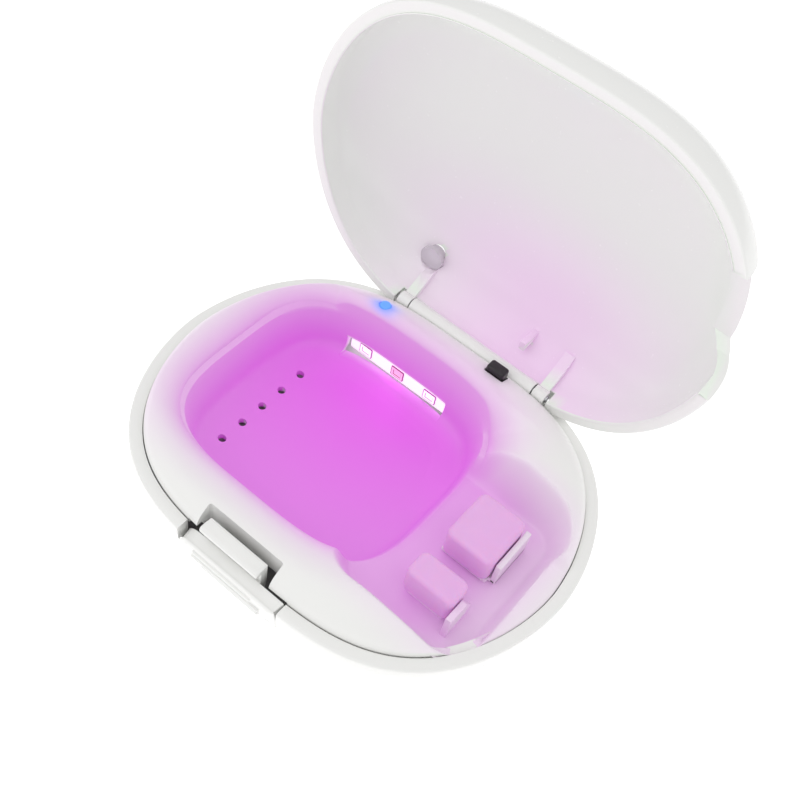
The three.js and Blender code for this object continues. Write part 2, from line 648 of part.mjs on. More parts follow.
function clampSpring() {
  const start = REAR_PAD_Y + 0.7 + CLEARANCE;
  const length = 9.8 - CLEARANCE - start;
  return coil(1.5, 0.25, length, 6).rotate([-90, 0, 0]).translate([REAR_PAD_X - 3.5, start, -8.6]);
}

// ---------------------------------------------------------------- lamp, switch and power

function ledChip(index) {
  const x = LED_STRIP_X + (index - (LED_COUNT - 1) / 2) * LED_PITCH;
  const high = [LED_STRIP_Z - 1.5, LED_STRIP_Z + 1.5];
  return block([x - 1.75, x + 1.75], [WELL_REAR + 0.4, WELL_REAR + TRAY_WALL], high);
}

function ledBoard() {
  const half = LED_STRIP_LENGTH / 2 + 0.4;
  const high = LED_STRIP_HEIGHT / 2 - 0.1;
  const y = WELL_REAR + TRAY_WALL + CLEARANCE / 2;
  const along = [LED_STRIP_X - half, LED_STRIP_X + half];
  return block(along, [y, y + 0.7], [LED_STRIP_Z - high, LED_STRIP_Z + high]);
}

function switchBoard() {
  return block([-22, 13], [SWITCH_Y - 3.1, SWITCH_Y + 1.2], [-5, -4]);
}

function lidSwitch() {
  const span = [SWITCH_X - 3, SWITCH_X + 3];
  return block(span, [SWITCH_Y - 1.6, SWITCH_Y + 1.2], [-3.9, SWITCH_TOP]);
}

function indicatorLed() {
  const span = [INDICATOR_X - 0.8, INDICATOR_X + 0.8];
  return block(span, [INDICATOR_Y - 0.2, INDICATOR_Y + 1.4], [-3.9, -3.2]);
}

// Light pipe from the lamp up through the tray's rim.
function indicatorLens() {
  const top = trayHeight(INDICATOR_X, INDICATOR_Y) + 0.3;
  return barZ(INDICATOR_RADIUS, INDICATOR_X, INDICATOR_Y, [-2.8, top]);
}

function switchPlunger() {
  const top = plungerTop();
  const bottom = SWITCH_TOP + SWITCH_TRAVEL + 0.1;
  return softBlock(4.3, 2.7, top - bottom, 0.6, SWITCH_X, SWITCH_Y, (top + bottom) / 2);
}

function mainBoard() {
  return plate([-19, 19], [-13, 13], 3, [BOARD_LOW, BOARD_LOW + BOARD_THICKNESS]);
}

function controllerChip() {
  const low = BOARD_LOW + BOARD_THICKNESS + 0.1;
  return block([-6, 0], [-3, 3], [low, low + 0.9]);
}

// A flat cell under the neck trough.
function batteryCell() {
  const [length, width, height] = CELL_SIZE;
  const [x, y] = CELL_PLACE;
  const z = -NECK_DEPTH - TRAY_WALL - 1.35 - height / 2;
  return softBlock(length, width, height, 0.9, x, y, z);
}

// The inlet's small board, under its shell.
function chargeBoard() {
  const front = -CASE_LENGTH / 2 + 9.4;
  return block([front, front + 4.6], [-4.4, 6], [PORT_Z - 2.7, PORT_Z - 1.9]);
}

function usbPort() {
  const front = -CASE_LENGTH / 2 + 3.1;
  const shell = plateX([front, front + 7.3], 4.4, 1.55, PORT_Z);
  const cavity = plateX([front - 1, front + 6], 4.1, 1.25, PORT_Z);
  const tongue = block([front + 0.8, front + 6.5], [-3.2, 3.2], [PORT_Z - 0.35, PORT_Z + 0.35]);
  return shell.subtract(cavity).add(tongue);
}

function caseScrew([x, y]) {
  const low = SCREW_SEAT - 1;
  const head = barZ(2.3, x, y, [low, SCREW_SEAT - 0.1]);
  const shank = barZ(SCREW_RADIUS - 0.15, x, y, [SCREW_SEAT - 0.2, SCREW_SEAT + SCREW_LENGTH - 0.2], 16);
  return head.add(shank).subtract(block([x - 1.6, x + 1.6], [y - 0.3, y + 0.3], [low - 1, low + 0.4]));
}

function rubberPlug([x, y]) {
  return barZ(PLUG_RADIUS, x, y, [SCREW_SEAT - 3.7, SCREW_SEAT - 1.1], 24);
}

// ---------------------------------------------------------------- wall bracket

function wallBracket() {
  const x = BRACKET_LENGTH / 2;
  const y = BRACKET_WIDTH / 2;
  const slab = plate([-x, x], [-y, y], BRACKET_CORNER, [BRACKET_BOTTOM, BRACKET_TOP]);
  const inX = x - BRACKET_RIM;
  const inY = y - BRACKET_RIM;
  const corner = BRACKET_CORNER - BRACKET_RIM;
  const recess = plate([-inX, inX], [-inY, inY], corner, [BRACKET_BOTTOM - 1, BRACKET_BOTTOM + 0.9]);
  let bracket = slab.subtract(recess);
  const side = RAIL_WIDTH / 2 + CLEARANCE;
  const lip = RAIL_NECK / 2 + CLEARANCE;
  const run = [-RAIL_LENGTH / 2, RAIL_LENGTH / 2 + 2];
  for (const sign of [-1, 1]) {
    const wall = [sign * side, sign * (side + 2)].sort((p, q) => p - q);
    const over = [sign * lip, sign * (side + 2)].sort((p, q) => p - q);
    bracket = bracket.add(block(run, wall, [BRACKET_TOP - 0.5, LIP_TOP]));
    bracket = bracket.add(block(run, over, [LIP_BOTTOM, LIP_TOP]));
  }
  const stop = RAIL_LENGTH / 2 + CLEARANCE;
  const stopSpan = [stop, RAIL_LENGTH / 2 + 2];
  bracket = bracket.add(block(stopSpan, [-side - 2, side + 2], [BRACKET_TOP - 0.5, LIP_TOP]));
  return bracket.add(block([-12.4, -10], [-y, -y + 4], [BRACKET_TOP - 0.5, LIP_TOP]));
}

function bracketBumper() {
  const y = -BRACKET_WIDTH / 2;
  return block([-9.7, -2.5], [y + 0.6, y + 3.2], [BRACKET_TOP + 0.1, LIP_TOP - 0.4]);
}

function adhesivePad() {
  const x = BRACKET_LENGTH / 2 - BRACKET_RIM - CLEARANCE;
  const y = BRACKET_WIDTH / 2 - BRACKET_RIM - CLEARANCE;
  return plate([-x, x], [-y, y], 2.5, [FOAM_BOTTOM, FOAM_BOTTOM + PAD_FOAM]);
}

function releaseLiner() {
  const x = BRACKET_LENGTH / 2 - BRACKET_RIM;
  const y = BRACKET_WIDTH / 2 - BRACKET_RIM;
  const sheet = plate([-x, x], [-y, y], 2.5, [LINER_BOTTOM, LINER_TOP]);
  return sheet.add(plate([x - 4, x + 7], [-7, 7], 3, [LINER_BOTTOM, LINER_TOP]));
}

// ---------------------------------------------------------------- assembly

const sanitizer = new THREE.Group();
const body = new THREE.Group();
body.position.z = LEDGE_HEIGHT;
sanitizer.add(body);

// The lid's group turns about the hinge; its pieces are made in their closed place.
const lid = new THREE.Group();
lid.position.set(0, HINGE_Y, HINGE_RISE);
lid.rotation.x = -Math.PI / 2;
body.add(lid);

function add(group, name, solid, material) {
  const mesh = new THREE.Mesh(toGeometry(solid), material.clone());
  mesh.name = name;
  group.add(mesh);
  return mesh;
}

function addToLid(name, solid, material) {
  add(lid, name, solid.translate([0, -HINGE_Y, -HINGE_RISE]), material);
}

add(body, "base_shell", baseShell(), ABS);
add(body, "inner_tray", innerTray(), ABS);
add(body, "hinge_pin", barX(PIN_RADIUS, [-20.4, 19.6], HINGE_Y, HINGE_RISE, 16), STEEL);
SPRING_SPANS.forEach(([x0, x1], i) => {
  const spring = coil(SPRING_RADIUS, SPRING_WIRE, x1 - x0, 5).rotate([0, 90, 0]);
  const name = ["left", "right"][i];
  add(body, `hinge_spring_${name}`, spring.translate([x0, HINGE_Y, HINGE_RISE]), STEEL);
});

addToLid("lid_shell", lidShell(), ABS);
addToLid("lid_window", lidWindow(), CLEAR_LENS);

add(body, "latch_button", latchButton(), ABS);
add(body, "latch_spring", latchSpring(), STEEL);

add(body, "front_clamp_pad", clampPad(FRONT_PAD_WIDTH, FRONT_PAD_X, FRONT_PAD_Y), SILICONE);
add(body, "rear_clamp_pad", clampPad(REAR_PAD_WIDTH, REAR_PAD_X, REAR_PAD_Y), SILICONE);
add(body, "rear_clamp_slider", clampSlider(), ABS);
add(body, "clamp_spring", clampSpring(), STEEL);

add(body, "uv_led_board", ledBoard(), WHITE_BOARD);
for (let i = 0; i < LED_COUNT; i++) {
  add(body, `uv_led_${i + 1}`, ledChip(i), LED_CHIP);
}
add(body, "switch_board", switchBoard(), BOARD);
add(body, "lid_switch", lidSwitch(), BLACK_PLASTIC);
add(body, "lid_switch_plunger", switchPlunger(), BLACK_PLASTIC);
add(body, "indicator_led", indicatorLed(), BLUE_LENS);
add(body, "indicator_lens", indicatorLens(), BLUE_LENS);

add(body, "main_board", mainBoard(), BOARD);
add(body, "controller_chip", controllerChip(), BLACK_PLASTIC);
add(body, "battery_cell", batteryCell(), CELL);
add(body, "charge_board", chargeBoard(), BOARD);
add(body, "usb_c_port", usbPort(), NICKEL);
PLUGS.forEach((spot, i) => add(body, `case_screw_${i + 1}`, caseScrew(spot), STEEL));
PLUGS.forEach((spot, i) => add(body, `rubber_plug_${i + 1}`, rubberPlug(spot), RUBBER));

add(body, "wall_bracket", wallBracket(), ABS);
add(body, "bracket_bumper", bracketBumper(), BLACK_PLASTIC);
add(body, "adhesive_pad", adhesivePad(), FOAM);
add(body, "release_liner", releaseLiner(), LINER);

export default sanitizer;
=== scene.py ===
"""Looks model of a travel toothbrush sanitizer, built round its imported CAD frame.

Sizes are millimetres in the case's own frame: x along the case towards the end the brush
handle leaves by, y towards the hinge, z up from the case's rim. place() takes them to metres.
"""

import math

import bpy
import numpy as np
from mathutils import Matrix, Vector


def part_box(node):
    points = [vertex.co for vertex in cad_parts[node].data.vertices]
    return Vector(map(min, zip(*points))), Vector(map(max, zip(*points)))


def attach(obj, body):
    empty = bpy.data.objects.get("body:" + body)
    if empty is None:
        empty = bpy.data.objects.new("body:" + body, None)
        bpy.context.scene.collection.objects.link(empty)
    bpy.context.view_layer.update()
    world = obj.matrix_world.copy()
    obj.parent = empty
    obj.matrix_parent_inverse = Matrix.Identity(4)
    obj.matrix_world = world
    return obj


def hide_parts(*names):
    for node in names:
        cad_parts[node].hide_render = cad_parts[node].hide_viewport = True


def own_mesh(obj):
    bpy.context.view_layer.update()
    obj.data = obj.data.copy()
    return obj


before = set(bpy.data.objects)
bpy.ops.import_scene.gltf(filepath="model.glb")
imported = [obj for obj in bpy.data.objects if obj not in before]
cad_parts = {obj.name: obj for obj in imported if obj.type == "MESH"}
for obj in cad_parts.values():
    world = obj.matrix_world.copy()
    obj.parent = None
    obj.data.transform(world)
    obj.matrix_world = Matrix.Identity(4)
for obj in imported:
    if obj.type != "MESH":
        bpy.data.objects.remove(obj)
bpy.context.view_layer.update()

# ---------------------------------------------------------------- camera
# Hand-held height in front of the open case, tipped a little, looking down into the well
# and at the inside of the lid.
eye = Vector((0.058506, -0.099968, 0.195542))
ahead = Vector((-0.29031, 0.53386, -0.79418)).normalized()
roll = math.radians(13.3)
level = ahead.cross(Vector((0, 0, 1))).normalized()
across = math.cos(roll) * level + math.sin(roll) * level.cross(ahead)
upright = across.cross(ahead)
camera = bpy.data.objects.new("camera", bpy.data.cameras.new("camera"))
camera.data.lens = 46.88
camera.data.sensor_width = 36
camera.data.clip_start = 0.01
camera.matrix_world = Matrix.Translation(eye) @ Matrix((across, upright, -ahead)).transposed().to_4x4()
bpy.context.scene.collection.objects.link(camera)
bpy.context.scene.camera = camera

# ---------------------------------------------------------------- floor and studio light
# A plain pale floor under the wall bracket, an even white sky and two large soft boxes: one
# over the case from the front left, and a weaker one from the right to round the dome.


def srgb(code):
    """Linear colour of an sRGB hex code: a channel c over 0.04045 becomes ((c + 0.055) / 1.055) ** 2.4."""
    channels = np.array([int(code[k : k + 2], 16) for k in (1, 3, 5)]) / 255
    linear = np.where(channels > 0.04045, ((channels + 0.055) / 1.055) ** 2.4, channels / 12.92)
    return (*linear.tolist(), 1.0)


def add_node(tree, kind, settings=(), **links):
    """Adds a node, sets its attributes and input values by name, and links inputs to other outputs."""
    node = tree.nodes.new(kind)
    for name, value in dict(settings).items():
        if name in node.inputs:
            node.inputs[name].default_value = value
        else:
            setattr(node, name, value)
    for name, source in links.items():
        tree.links.new(source, node.inputs[name.replace("_", " ")])
    return node


def paint(name, colour, roughness, cloud=(), grain=(), lamp_and_painted_light=None, **sockets):
    """A Principled finish on Object coordinates. cloud is (size, darkening) of a faint colour
    variation, grain is (size, relief, roughness swing) of the surface texture, in metres. The
    argument after grain is a ramp of (share, colour) and a strength, read from the mesh's attribute
    of the same name into base and emission colour: an emitter's own light with painted shade on its
    seams, and on surfaces that are no lamp, lamp light painted on as colour and emission."""
    material = bpy.data.materials.new(name)
    material.use_nodes = True
    tree = material.node_tree
    shader = tree.nodes["Principled BSDF"]
    shader.inputs["Base Color"].default_value = srgb(colour)
    shader.inputs["Roughness"].default_value = roughness
    for socket, value in sockets.items():
        shader.inputs[socket.replace("_", " ")].default_value = value
    place_on = add_node(tree, "ShaderNodeTexCoord").outputs["Object"]
    tint = None
    if lamp_and_painted_light:
        stops, strength = lamp_and_painted_light
        share = add_node(tree, "ShaderNodeAttribute", {"attribute_name": "lamp_and_painted_light"}).outputs["Fac"]
        ramp = add_node(tree, "ShaderNodeValToRGB", Fac=share)
        band = ramp.color_ramp
        for k, (at, code) in enumerate(stops):
            stop = band.elements[k] if k < 2 else band.elements.new(at)
            stop.position = at
            stop.color = srgb(code)
        tint = ramp.outputs["Color"]
        power = add_node(tree, "ShaderNodeMath", {"operation": "MULTIPLY"})
        tree.links.new(share, power.inputs[0])
        power.inputs[1].default_value = strength
        tree.links.new(tint, shader.inputs["Emission Color"])
        tree.links.new(power.outputs[0], shader.inputs["Emission Strength"])
    if cloud:
        size, dark = cloud
        noise = add_node(tree, "ShaderNodeTexNoise", {"Scale": 1 / size, "Detail": 3.0}, Vector=place_on)
        shade = add_node(tree, "ShaderNodeMapRange", {"To Min": 1 - dark, "To Max": 1.0},
                         Value=noise.outputs["Fac"])
        mix = add_node(tree, "ShaderNodeMix", {"data_type": "RGBA", "blend_type": "MULTIPLY"})
        mix.inputs["Factor"].default_value = 1.0
        if tint:
            tree.links.new(tint, mix.inputs[6])
        else:
            mix.inputs[6].default_value = srgb(colour)
        tree.links.new(shade.outputs["Result"], mix.inputs[7])
        tint = mix.outputs[2]
    if tint:
        tree.links.new(tint, shader.inputs["Base Color"])
    if grain:
        size, relief, swing = grain
        fine = add_node(tree, "ShaderNodeTexNoise", {"Scale": 1 / size, "Detail": 2.0}, Vector=place_on)
        swings = {"To Min": roughness - swing, "To Max": roughness + swing}
        rough = add_node(tree, "ShaderNodeMapRange", swings, Value=fine.outputs["Fac"])
        tree.links.new(rough.outputs["Result"], shader.inputs["Roughness"])
        bump = add_node(tree, "ShaderNodeBump", {"Distance": relief, "Strength": 1.0},
                        Height=fine.outputs["Fac"])
        tree.links.new(bump.outputs["Normal"], shader.inputs["Normal"])
    return material


def light_up(material, colour, strength):
    """Gives a finish light of its own."""
    sockets = material.node_tree.nodes["Principled BSDF"].inputs
    sockets["Emission Color"].default_value = srgb(colour)
    sockets["Emission Strength"].default_value = strength
    return material


FLOOR_HALF, FLOOR_HEIGHT = 1.5, -0.0003
floor_mesh = bpy.data.meshes.new("floor")
corner_signs = ((-1, -1), (1, -1), (1, 1), (-1, 1))
floor_corners = [(FLOOR_HALF * x, FLOOR_HALF * y, FLOOR_HEIGHT) for x, y in corner_signs]
floor_mesh.from_pydata(floor_corners, [], [(0, 1, 2, 3)])
pale = light_up(paint("pale_floor", "#FCFCFC", 0.9), "#FFFFFF", 0.36)
floor_mesh.materials.append(pale)
floor = bpy.data.objects.new("floor", floor_mesh)
bpy.context.scene.collection.objects.link(floor)

sky = bpy.data.worlds.new("studio")
sky.use_nodes = True
sky.node_tree.nodes["Background"].inputs["Color"].default_value = srgb("#FFFFFF")
sky.node_tree.nodes["Background"].inputs["Strength"].default_value = 0.69
bpy.context.scene.world = sky
bpy.context.scene.view_settings.view_transform = "Standard"

SOFT_BOXES = (("key_box", (-0.35, -0.35, 0.75), 1.2, 2.3), ("side_box", (0.6, 0.1, 0.5), 0.8, 0.7))
for name, spot, size, power in SOFT_BOXES:
    lamp = bpy.data.objects.new(name, bpy.data.lights.new(name, "AREA"))
    lamp.data.size = size
    lamp.data.energy = power
    turn = Vector(spot).to_track_quat("Z", "Y").to_matrix().to_4x4()
    lamp.matrix_world = Matrix.Translation(spot) @ turn
    bpy.context.scene.collection.objects.link(lamp)

# ---------------------------------------------------------------- base shell
# The domed back of the case: one glossy white ABS moulding with a flat rim, cut for the latch
# button, the charging inlet and two screw holes, with the slide rail and hinge knuckle on it.
RIM_HEIGHT = 26.0  # the case's rim over the wall face
HALF_LENGTH, HALF_WIDTH = 48.0, 37.6
END_POWER, SIDE_POWER, DOME_POWER = 3.33, 1.8, 2.65
BASE_DEPTH, WALL, RIM = 19.8, 2.0, 2.65
OUTLINE_SIDES = 360
HINGE_Y, HINGE_Z = 35.0, 1.95
BUTTON_X = -1.5
PLUGS = ((29.5, 10.0), (-34.0, -7.5))
INDICATOR = (-19.4, 28.4)


def place(points):
    """Case millimetres to metres over the wall face."""
    return (np.asarray(points, float) + (0, 0, RIM_HEIGHT)) * 0.001


def oval(half_x, half_y, end_power, side_power, inset, turn):
    """Points of |x/a|^p + |y/b|^q = 1 at each turn, moved in by inset along the normal, which is
    the gradient's direction."""
    c, s = np.cos(turn), np.sin(turn)
    x = half_x * np.sign(c) * np.abs(c) ** (2 / end_power)
    y = half_y * np.sign(s) * np.abs(s) ** (2 / side_power)
    nx = end_power / half_x * np.sign(c) * np.abs(x / half_x) ** (end_power - 1)
    ny = side_power / half_y * np.sign(s) * np.abs(y / half_y) ** (side_power - 1)
    size = np.hypot(nx, ny)
    return np.stack([x - inset * nx / size, y - inset * ny / size], axis=-1)


def even_turns(half_x, half_y, end_power, side_power, count):
    """Turns that space an oval's points evenly: its running length is measured on a fine
    polygon and read back at equal steps."""
    turn = np.linspace(0, 2 * np.pi, 20001)
    line = oval(half_x, half_y, end_power, side_power, 0, turn + 1e-7)
    run = np.concatenate([[0], np.cumsum(np.hypot(*np.diff(line, axis=0).T))])
    return np.interp(np.linspace(0, run[-1], count, endpoint=False), run, turn) + 1e-7


TURNS = even_turns(HALF_LENGTH, HALF_WIDTH, END_POWER, SIDE_POWER, OUTLINE_SIDES)


def case_ring(inset, scale, z):
    """The case outline scaled about its middle, then inset, at one height."""
    flat = oval(HALF_LENGTH * scale, HALF_WIDTH * scale, END_POWER, SIDE_POWER, inset, TURNS)
    return np.column_stack([flat, np.full(len(flat), z)])


def shell_rows(depth, wall, angles):
    """Rows (inset, scale, rise) of a dome where scale^p + (rise/depth)^p = 1, each moved in by
    the wall square to the surface."""
    scale = np.cos(angles) ** (2 / DOME_POWER)
    rise = np.sin(angles) ** (2 / DOME_POWER)
    middle = (HALF_LENGTH + HALF_WIDTH) / 2
    slope = np.arctan2(rise ** (DOME_POWER - 1) / depth, scale ** (DOME_POWER - 1) / middle)
    return np.stack([wall * np.cos(slope), scale, rise * depth - wall * np.sin(slope)], axis=-1)


def fillet(radius, steps=5):
    """(run, drop) pairs of a quarter round, from touching the side face to touching the top."""
    angle = np.linspace(0, np.pi / 2, steps)
    return np.stack([radius * (1 - np.cos(angle)), radius * (1 - np.sin(angle))], axis=-1)


def skin(rings, start, end):
    """Points and faces of a skin: point i of a ring joins point i + 1 and the ring above, and a
    fan closes each end on its pole. Going up the outside with counterclockwise rings faces out."""
    count, sides = rings.shape[:2]
    at = np.arange(count * sides).reshape(count, sides)
    after = np.roll(at, -1, axis=1)
    quads = np.stack([at[:-1], after[:-1], after[1:], at[1:]], axis=-1).reshape(-1, 4)
    first = np.stack([np.full(sides, at.size), after[0], at[0]], axis=-1)
    last = np.stack([np.full(sides, at.size + 1), at[-1], after[-1]], axis=-1)
    return np.vstack([rings.reshape(-1, 3), start, end]), [quads, first, last]


def rounded_ring(half_x, half_y, corner, inset=0.0, per_corner=8):
    """Counterclockwise points of a rectangle with rounded corners, drawn in by inset: four quarter
    circles about their own centres. corner is one radius or four, from the far right one on."""
    radius = np.maximum(np.broadcast_to(corner, 4) - inset, 0.01)
    radius = np.repeat(radius, per_corner)
    angle = np.concatenate([np.linspace(0, np.pi / 2, per_corner) + k * np.pi / 2 for k in range(4)])
    sign_x = np.repeat([1, -1, -1, 1], per_corner)
    sign_y = np.repeat([1, 1, -1, -1], per_corner)
    x = sign_x * (half_x - inset - radius) + radius * np.cos(angle)
    y = sign_y * (half_y - inset - radius) + radius * np.sin(angle)
    return np.stack([x, y], axis=-1)


# Which axis a stacked shape grows along: columns of (across, along, up) that make (x, y, z).
ALONG = {"z": [0, 1, 2], "y": [1, 2, 0], "x": [2, 0, 1]}


def stack(rows, half_x, half_y, corner, centre, axis="z"):
    """A solid of rounded rectangles: each row is (inset, height), and the centre is added after
    the shape is turned to grow along the axis."""
    flats = [(rounded_ring(half_x, half_y, corner, inset), height) for inset, height in rows]
    rings = np.stack([np.column_stack([flat, np.full(len(flat), height)]) for flat, height in flats])
    points, faces = skin(rings, (0, 0, rows[0][1]), (0, 0, rows[-1][1]))
    return points[:, ALONG[axis]] + centre, faces


def soft_block(low, high, corner, edge, axis="z"):
    """A block between two corners, with round upright edges of one radius and rounded top and
    bottom edges of another."""
    low, high = np.array(low, float), np.array(high, float)
    size = (high - low)[{"z": [0, 1, 2], "y": [2, 0, 1], "x": [1, 2, 0]}[axis]]
    top = [(run, size[2] / 2 - drop) for run, drop in fillet(edge)]
    rows = [(run, -height) for run, height in top[::-1]] + top
    return stack(rows, size[0] / 2, size[1] / 2, corner, (low + high) / 2, axis)


def turned(rows, centre, axis="z", sides=48):
    """A turned solid: each row is (radius, height) on a profile spun about the axis."""
    angle = np.linspace(0, 2 * np.pi, sides, endpoint=False)
    circle = np.stack([np.cos(angle), np.sin(angle)], axis=-1)
    rings = np.stack([np.column_stack([circle * radius, np.full(sides, height)]) for radius, height in rows])
    points, faces = skin(rings, (0, 0, rows[0][1]), (0, 0, rows[-1][1]))
    return points[:, ALONG[axis]] + centre, faces


def bar(radius, low, high, y, z, edge=0.15):
    """A round bar along x with softened ends."""
    half = (high - low) / 2
    top = [(radius - run, half - drop) for run, drop in fillet(edge)]
    rows = [(width, -height) for width, height in top[::-1]] + top
    return turned(rows, ((low + high) / 2, y, z), "x")


def prism(outline, low, high, axis):
    """A solid of one convex outline, counterclockwise, between two heights along the axis."""
    outline = np.asarray(outline, float)
    rings = np.stack([np.column_stack([outline, np.full(len(outline), level)]) for level in (low, high)])
    middle = outline.mean(axis=0)
    points, faces = skin(rings, (*middle, low), (*middle, high))
    return points[:, ALONG[axis]], faces


def together(*solids):
    """Several solids as the loose shells of one mesh."""
    start = np.cumsum([0] + [len(points) for points, _ in solids])
    faces = [face + first for (_, group), first in zip(solids, start) for face in group]
    return np.vstack([points for points, _ in solids]), faces


def lay(name, solid):
    """A new object whose mesh is the solid, placed in metres."""
    points, faces = solid
    mesh = bpy.data.meshes.new(name)
    sizes = np.concatenate([np.full(len(face), face.shape[1]) for face in faces])
    corners = np.concatenate([face.ravel() for face in faces])
    mesh.vertices.add(len(points))
    mesh.vertices.foreach_set("co", place(points).ravel())
    mesh.loops.add(len(corners))
    mesh.loops.foreach_set("vertex_index", corners)
    mesh.polygons.add(len(sizes))
    mesh.polygons.foreach_set("loop_start", np.cumsum(sizes) - sizes)
    mesh.update(calc_edges=True)
    piece = bpy.data.objects.new(name, mesh)
    bpy.context.scene.collection.objects.link(piece)
    return piece


def carve(piece, tools, operation="DIFFERENCE"):
    """The piece with each tool cut out of it, or joined to it."""
    cutters = [lay("tool", tool) for tool in tools]
    for cutter in cutters:
        step = piece.modifiers.new("cut", "BOOLEAN")
        step.operation = operation
        step.solver = "MANIFOLD"
        step.object = cutter
    graph = bpy.context.evaluated_depsgraph_get()
    mesh = bpy.data.meshes.new_from_object(piece.evaluated_get(graph))
    piece.modifiers.clear()
    piece.data = mesh
    for cutter in cutters:
        bpy.data.objects.remove(cutter)
    return piece


def finish_piece(piece, body, slot, material, *nodes, crease=38):
    """Smooth shading with creases kept, the material, the piece parented to its body's empty, and the CAD
    parts it replaces hidden.
    """
    mesh = piece.data
    mesh.shade_smooth()
    mesh.set_sharp_from_angle(angle=math.radians(crease))
    mesh.materials.clear()
    mesh.materials.append(material)
    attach(piece, body)
    if nodes:
        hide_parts(*nodes)
    return piece


# Glossy white ABS from a polished mould: an even near-white with a broad soft highlight and the
# faint orange peel of the mould, drawn 0.9 mm wide so that it shows.
gloss_abs = paint("gloss_white_abs", "#F4F4F2", 0.24, cloud=(0.03, 0.015), grain=(0.0009, 0.000004, 0.03),
                  IOR=1.53, Coat_Weight=0.35, Coat_Roughness=0.08)

round_rim = fillet(0.45)
outside = shell_rows(BASE_DEPTH, 0, (np.pi / 2) * np.linspace(0, 0.99, 34) ** 1.25)
outside = [(0, scale, -rise) for _, scale, rise in outside[::-1] if rise > 0.5]
rim_rows = [(run, 1, -drop) for run, drop in round_rim]
inner_edge = [(RIM - run, 1, -drop) for run, drop in fillet(0.25, 3)[::-1]]
inside = shell_rows(BASE_DEPTH, WALL, (np.pi / 2) * np.linspace(0.12, 0.98, 20))
inside = [(inset, scale, -rise) for inset, scale, rise in inside]
rows = outside + rim_rows + inner_edge + inside
base_rings = np.stack([case_ring(*row) for row in rows])
base_shell = lay("base_shell_moulding", skin(base_rings, (0, 0, -BASE_DEPTH), (0, 0, WALL - BASE_DEPTH)))

RAIL_TOP, RAIL_LOW = -21.4, -22.5
rail = [soft_block((-16, -9.5, RAIL_TOP - 0.5), (16, 9.5, -18.2), 0.6, 0.1),
        soft_block((-16, -13, RAIL_LOW), (16, 13, RAIL_TOP), 0.8, 0.25)]
KNUCKLE = (-16.7, 15.9)
knuckle = [bar(1.85, *KNUCKLE, HINGE_Y, HINGE_Z),
           soft_block((KNUCKLE[0], HINGE_Y + 0.3, -1), (KNUCKLE[1], HINGE_Y + 1.1, HINGE_Z), 0.1, 0.1)]
carve(base_shell, rail + knuckle, "UNION")
window_line = rounded_ring(8.7, 12.3, [0.4, 0.4, 4.3, 4.3]) + (0, BUTTON_X)
button_window = prism(window_line, -HALF_WIDTH - 2, -29.5, "y")
INLET_Z = -9.0
inlet_slot = stack([(0, -6), (0, 6)], 4.8, 1.9, 1.9, (-HALF_LENGTH + 5, 0, INLET_Z), "x")
screw_holes = [turned([(3.6, -22), (3.6, -14.6)], (x, y, 0)) for x, y in PLUGS]
PIN_BORE, SPRING_BORE = 0.85, 1.4
bores = [bar(radius, low, high, HINGE_Y, HINGE_Z, 0.01)
         for radius, low, high in ((PIN_BORE, -18, 17), (SPRING_BORE, -18, -8.5), (SPRING_BORE, 2.1, 17))]
carve(base_shell, [button_window, inlet_slot, *screw_holes, *bores])
finish_piece(base_shell, "case", "white_abs", gloss_abs, "base_shell")

# ---------------------------------------------------------------- charging inlet, boards and cell
# Under the tray: the drawn nickel shell of the USB-C inlet on its small board, the green main
# board with its control chip, and a flat lithium cell in blue shrink wrap.
nickel = paint("drawn_nickel", "#C9CBCE", 0.28, grain=(0.0006, 0.000003, 0.06), Metallic=1.0)
port_rows = [(0.3, 2.4), (0.3, -3.65), (0.15, -3.65), (0.0, -3.5), (0.0, 3.65)]
port = stack(port_rows, 4.4, 1.55, 1.55, (-41.25, 0, INLET_Z), "x")
port_tongue = soft_block((-44.1, -3.2, -9.35), (-38.4, 3.2, -8.65), 0.2, 0.1)
inlet = lay("usb_c_inlet", together(port, port_tongue))
finish_piece(inlet, "case", "nickel", nickel, "usb_c_port")

# Solder-masked glass-fibre board: deep green, semi-gloss, with a mottled darkening about 1.5 mm
# across for the copper tracks.
board = paint("green_solder_mask", "#1F5A3A", 0.42, cloud=(0.0015, 0.35), grain=(0.0012, 0.00003, 0.08),
              IOR=1.5)
for name, low, high, corner in (("main_board", (-19, -13, -16.2), (19, 13, -15.2), 3),
                                ("charge_board", (-38.6, -4.4, -11.7), (-34, 6, -10.9), 0.4),
                                ("switch_board", (-22, 27.9, -5), (13, 32.2, -4), 0.4)):
    laminate = lay(f"{name}_laminate", soft_block(low, high, corner, 0.1))
    finish_piece(laminate, "case", "circuit_board", board, name)
black_resin = paint("black_epoxy_resin", "#1B1A1D", 0.5, grain=(0.0004, 0.000008, 0.08), IOR=1.55)
chip = lay("controller_chip_package", soft_block((-6, -3, -15.1), (0, 3, -14.2), 0.15, 0.12))
finish_piece(chip, "case", "black_plastic", black_resin, "controller_chip")
wrap = paint("blue_shrink_wrap", "#3F6FB0", 0.3, cloud=(0.006, 0.12), grain=(0.002, 0.00003, 0.06), IOR=1.5,
             Coat_Weight=0.3)
cell = lay("battery_cell_wrapped", soft_block((19.5, -18, -12.85), (32.5, -2, -7.35), 1.2, 0.9))
finish_piece(cell, "case", "battery_wrap", wrap, "battery_cell")
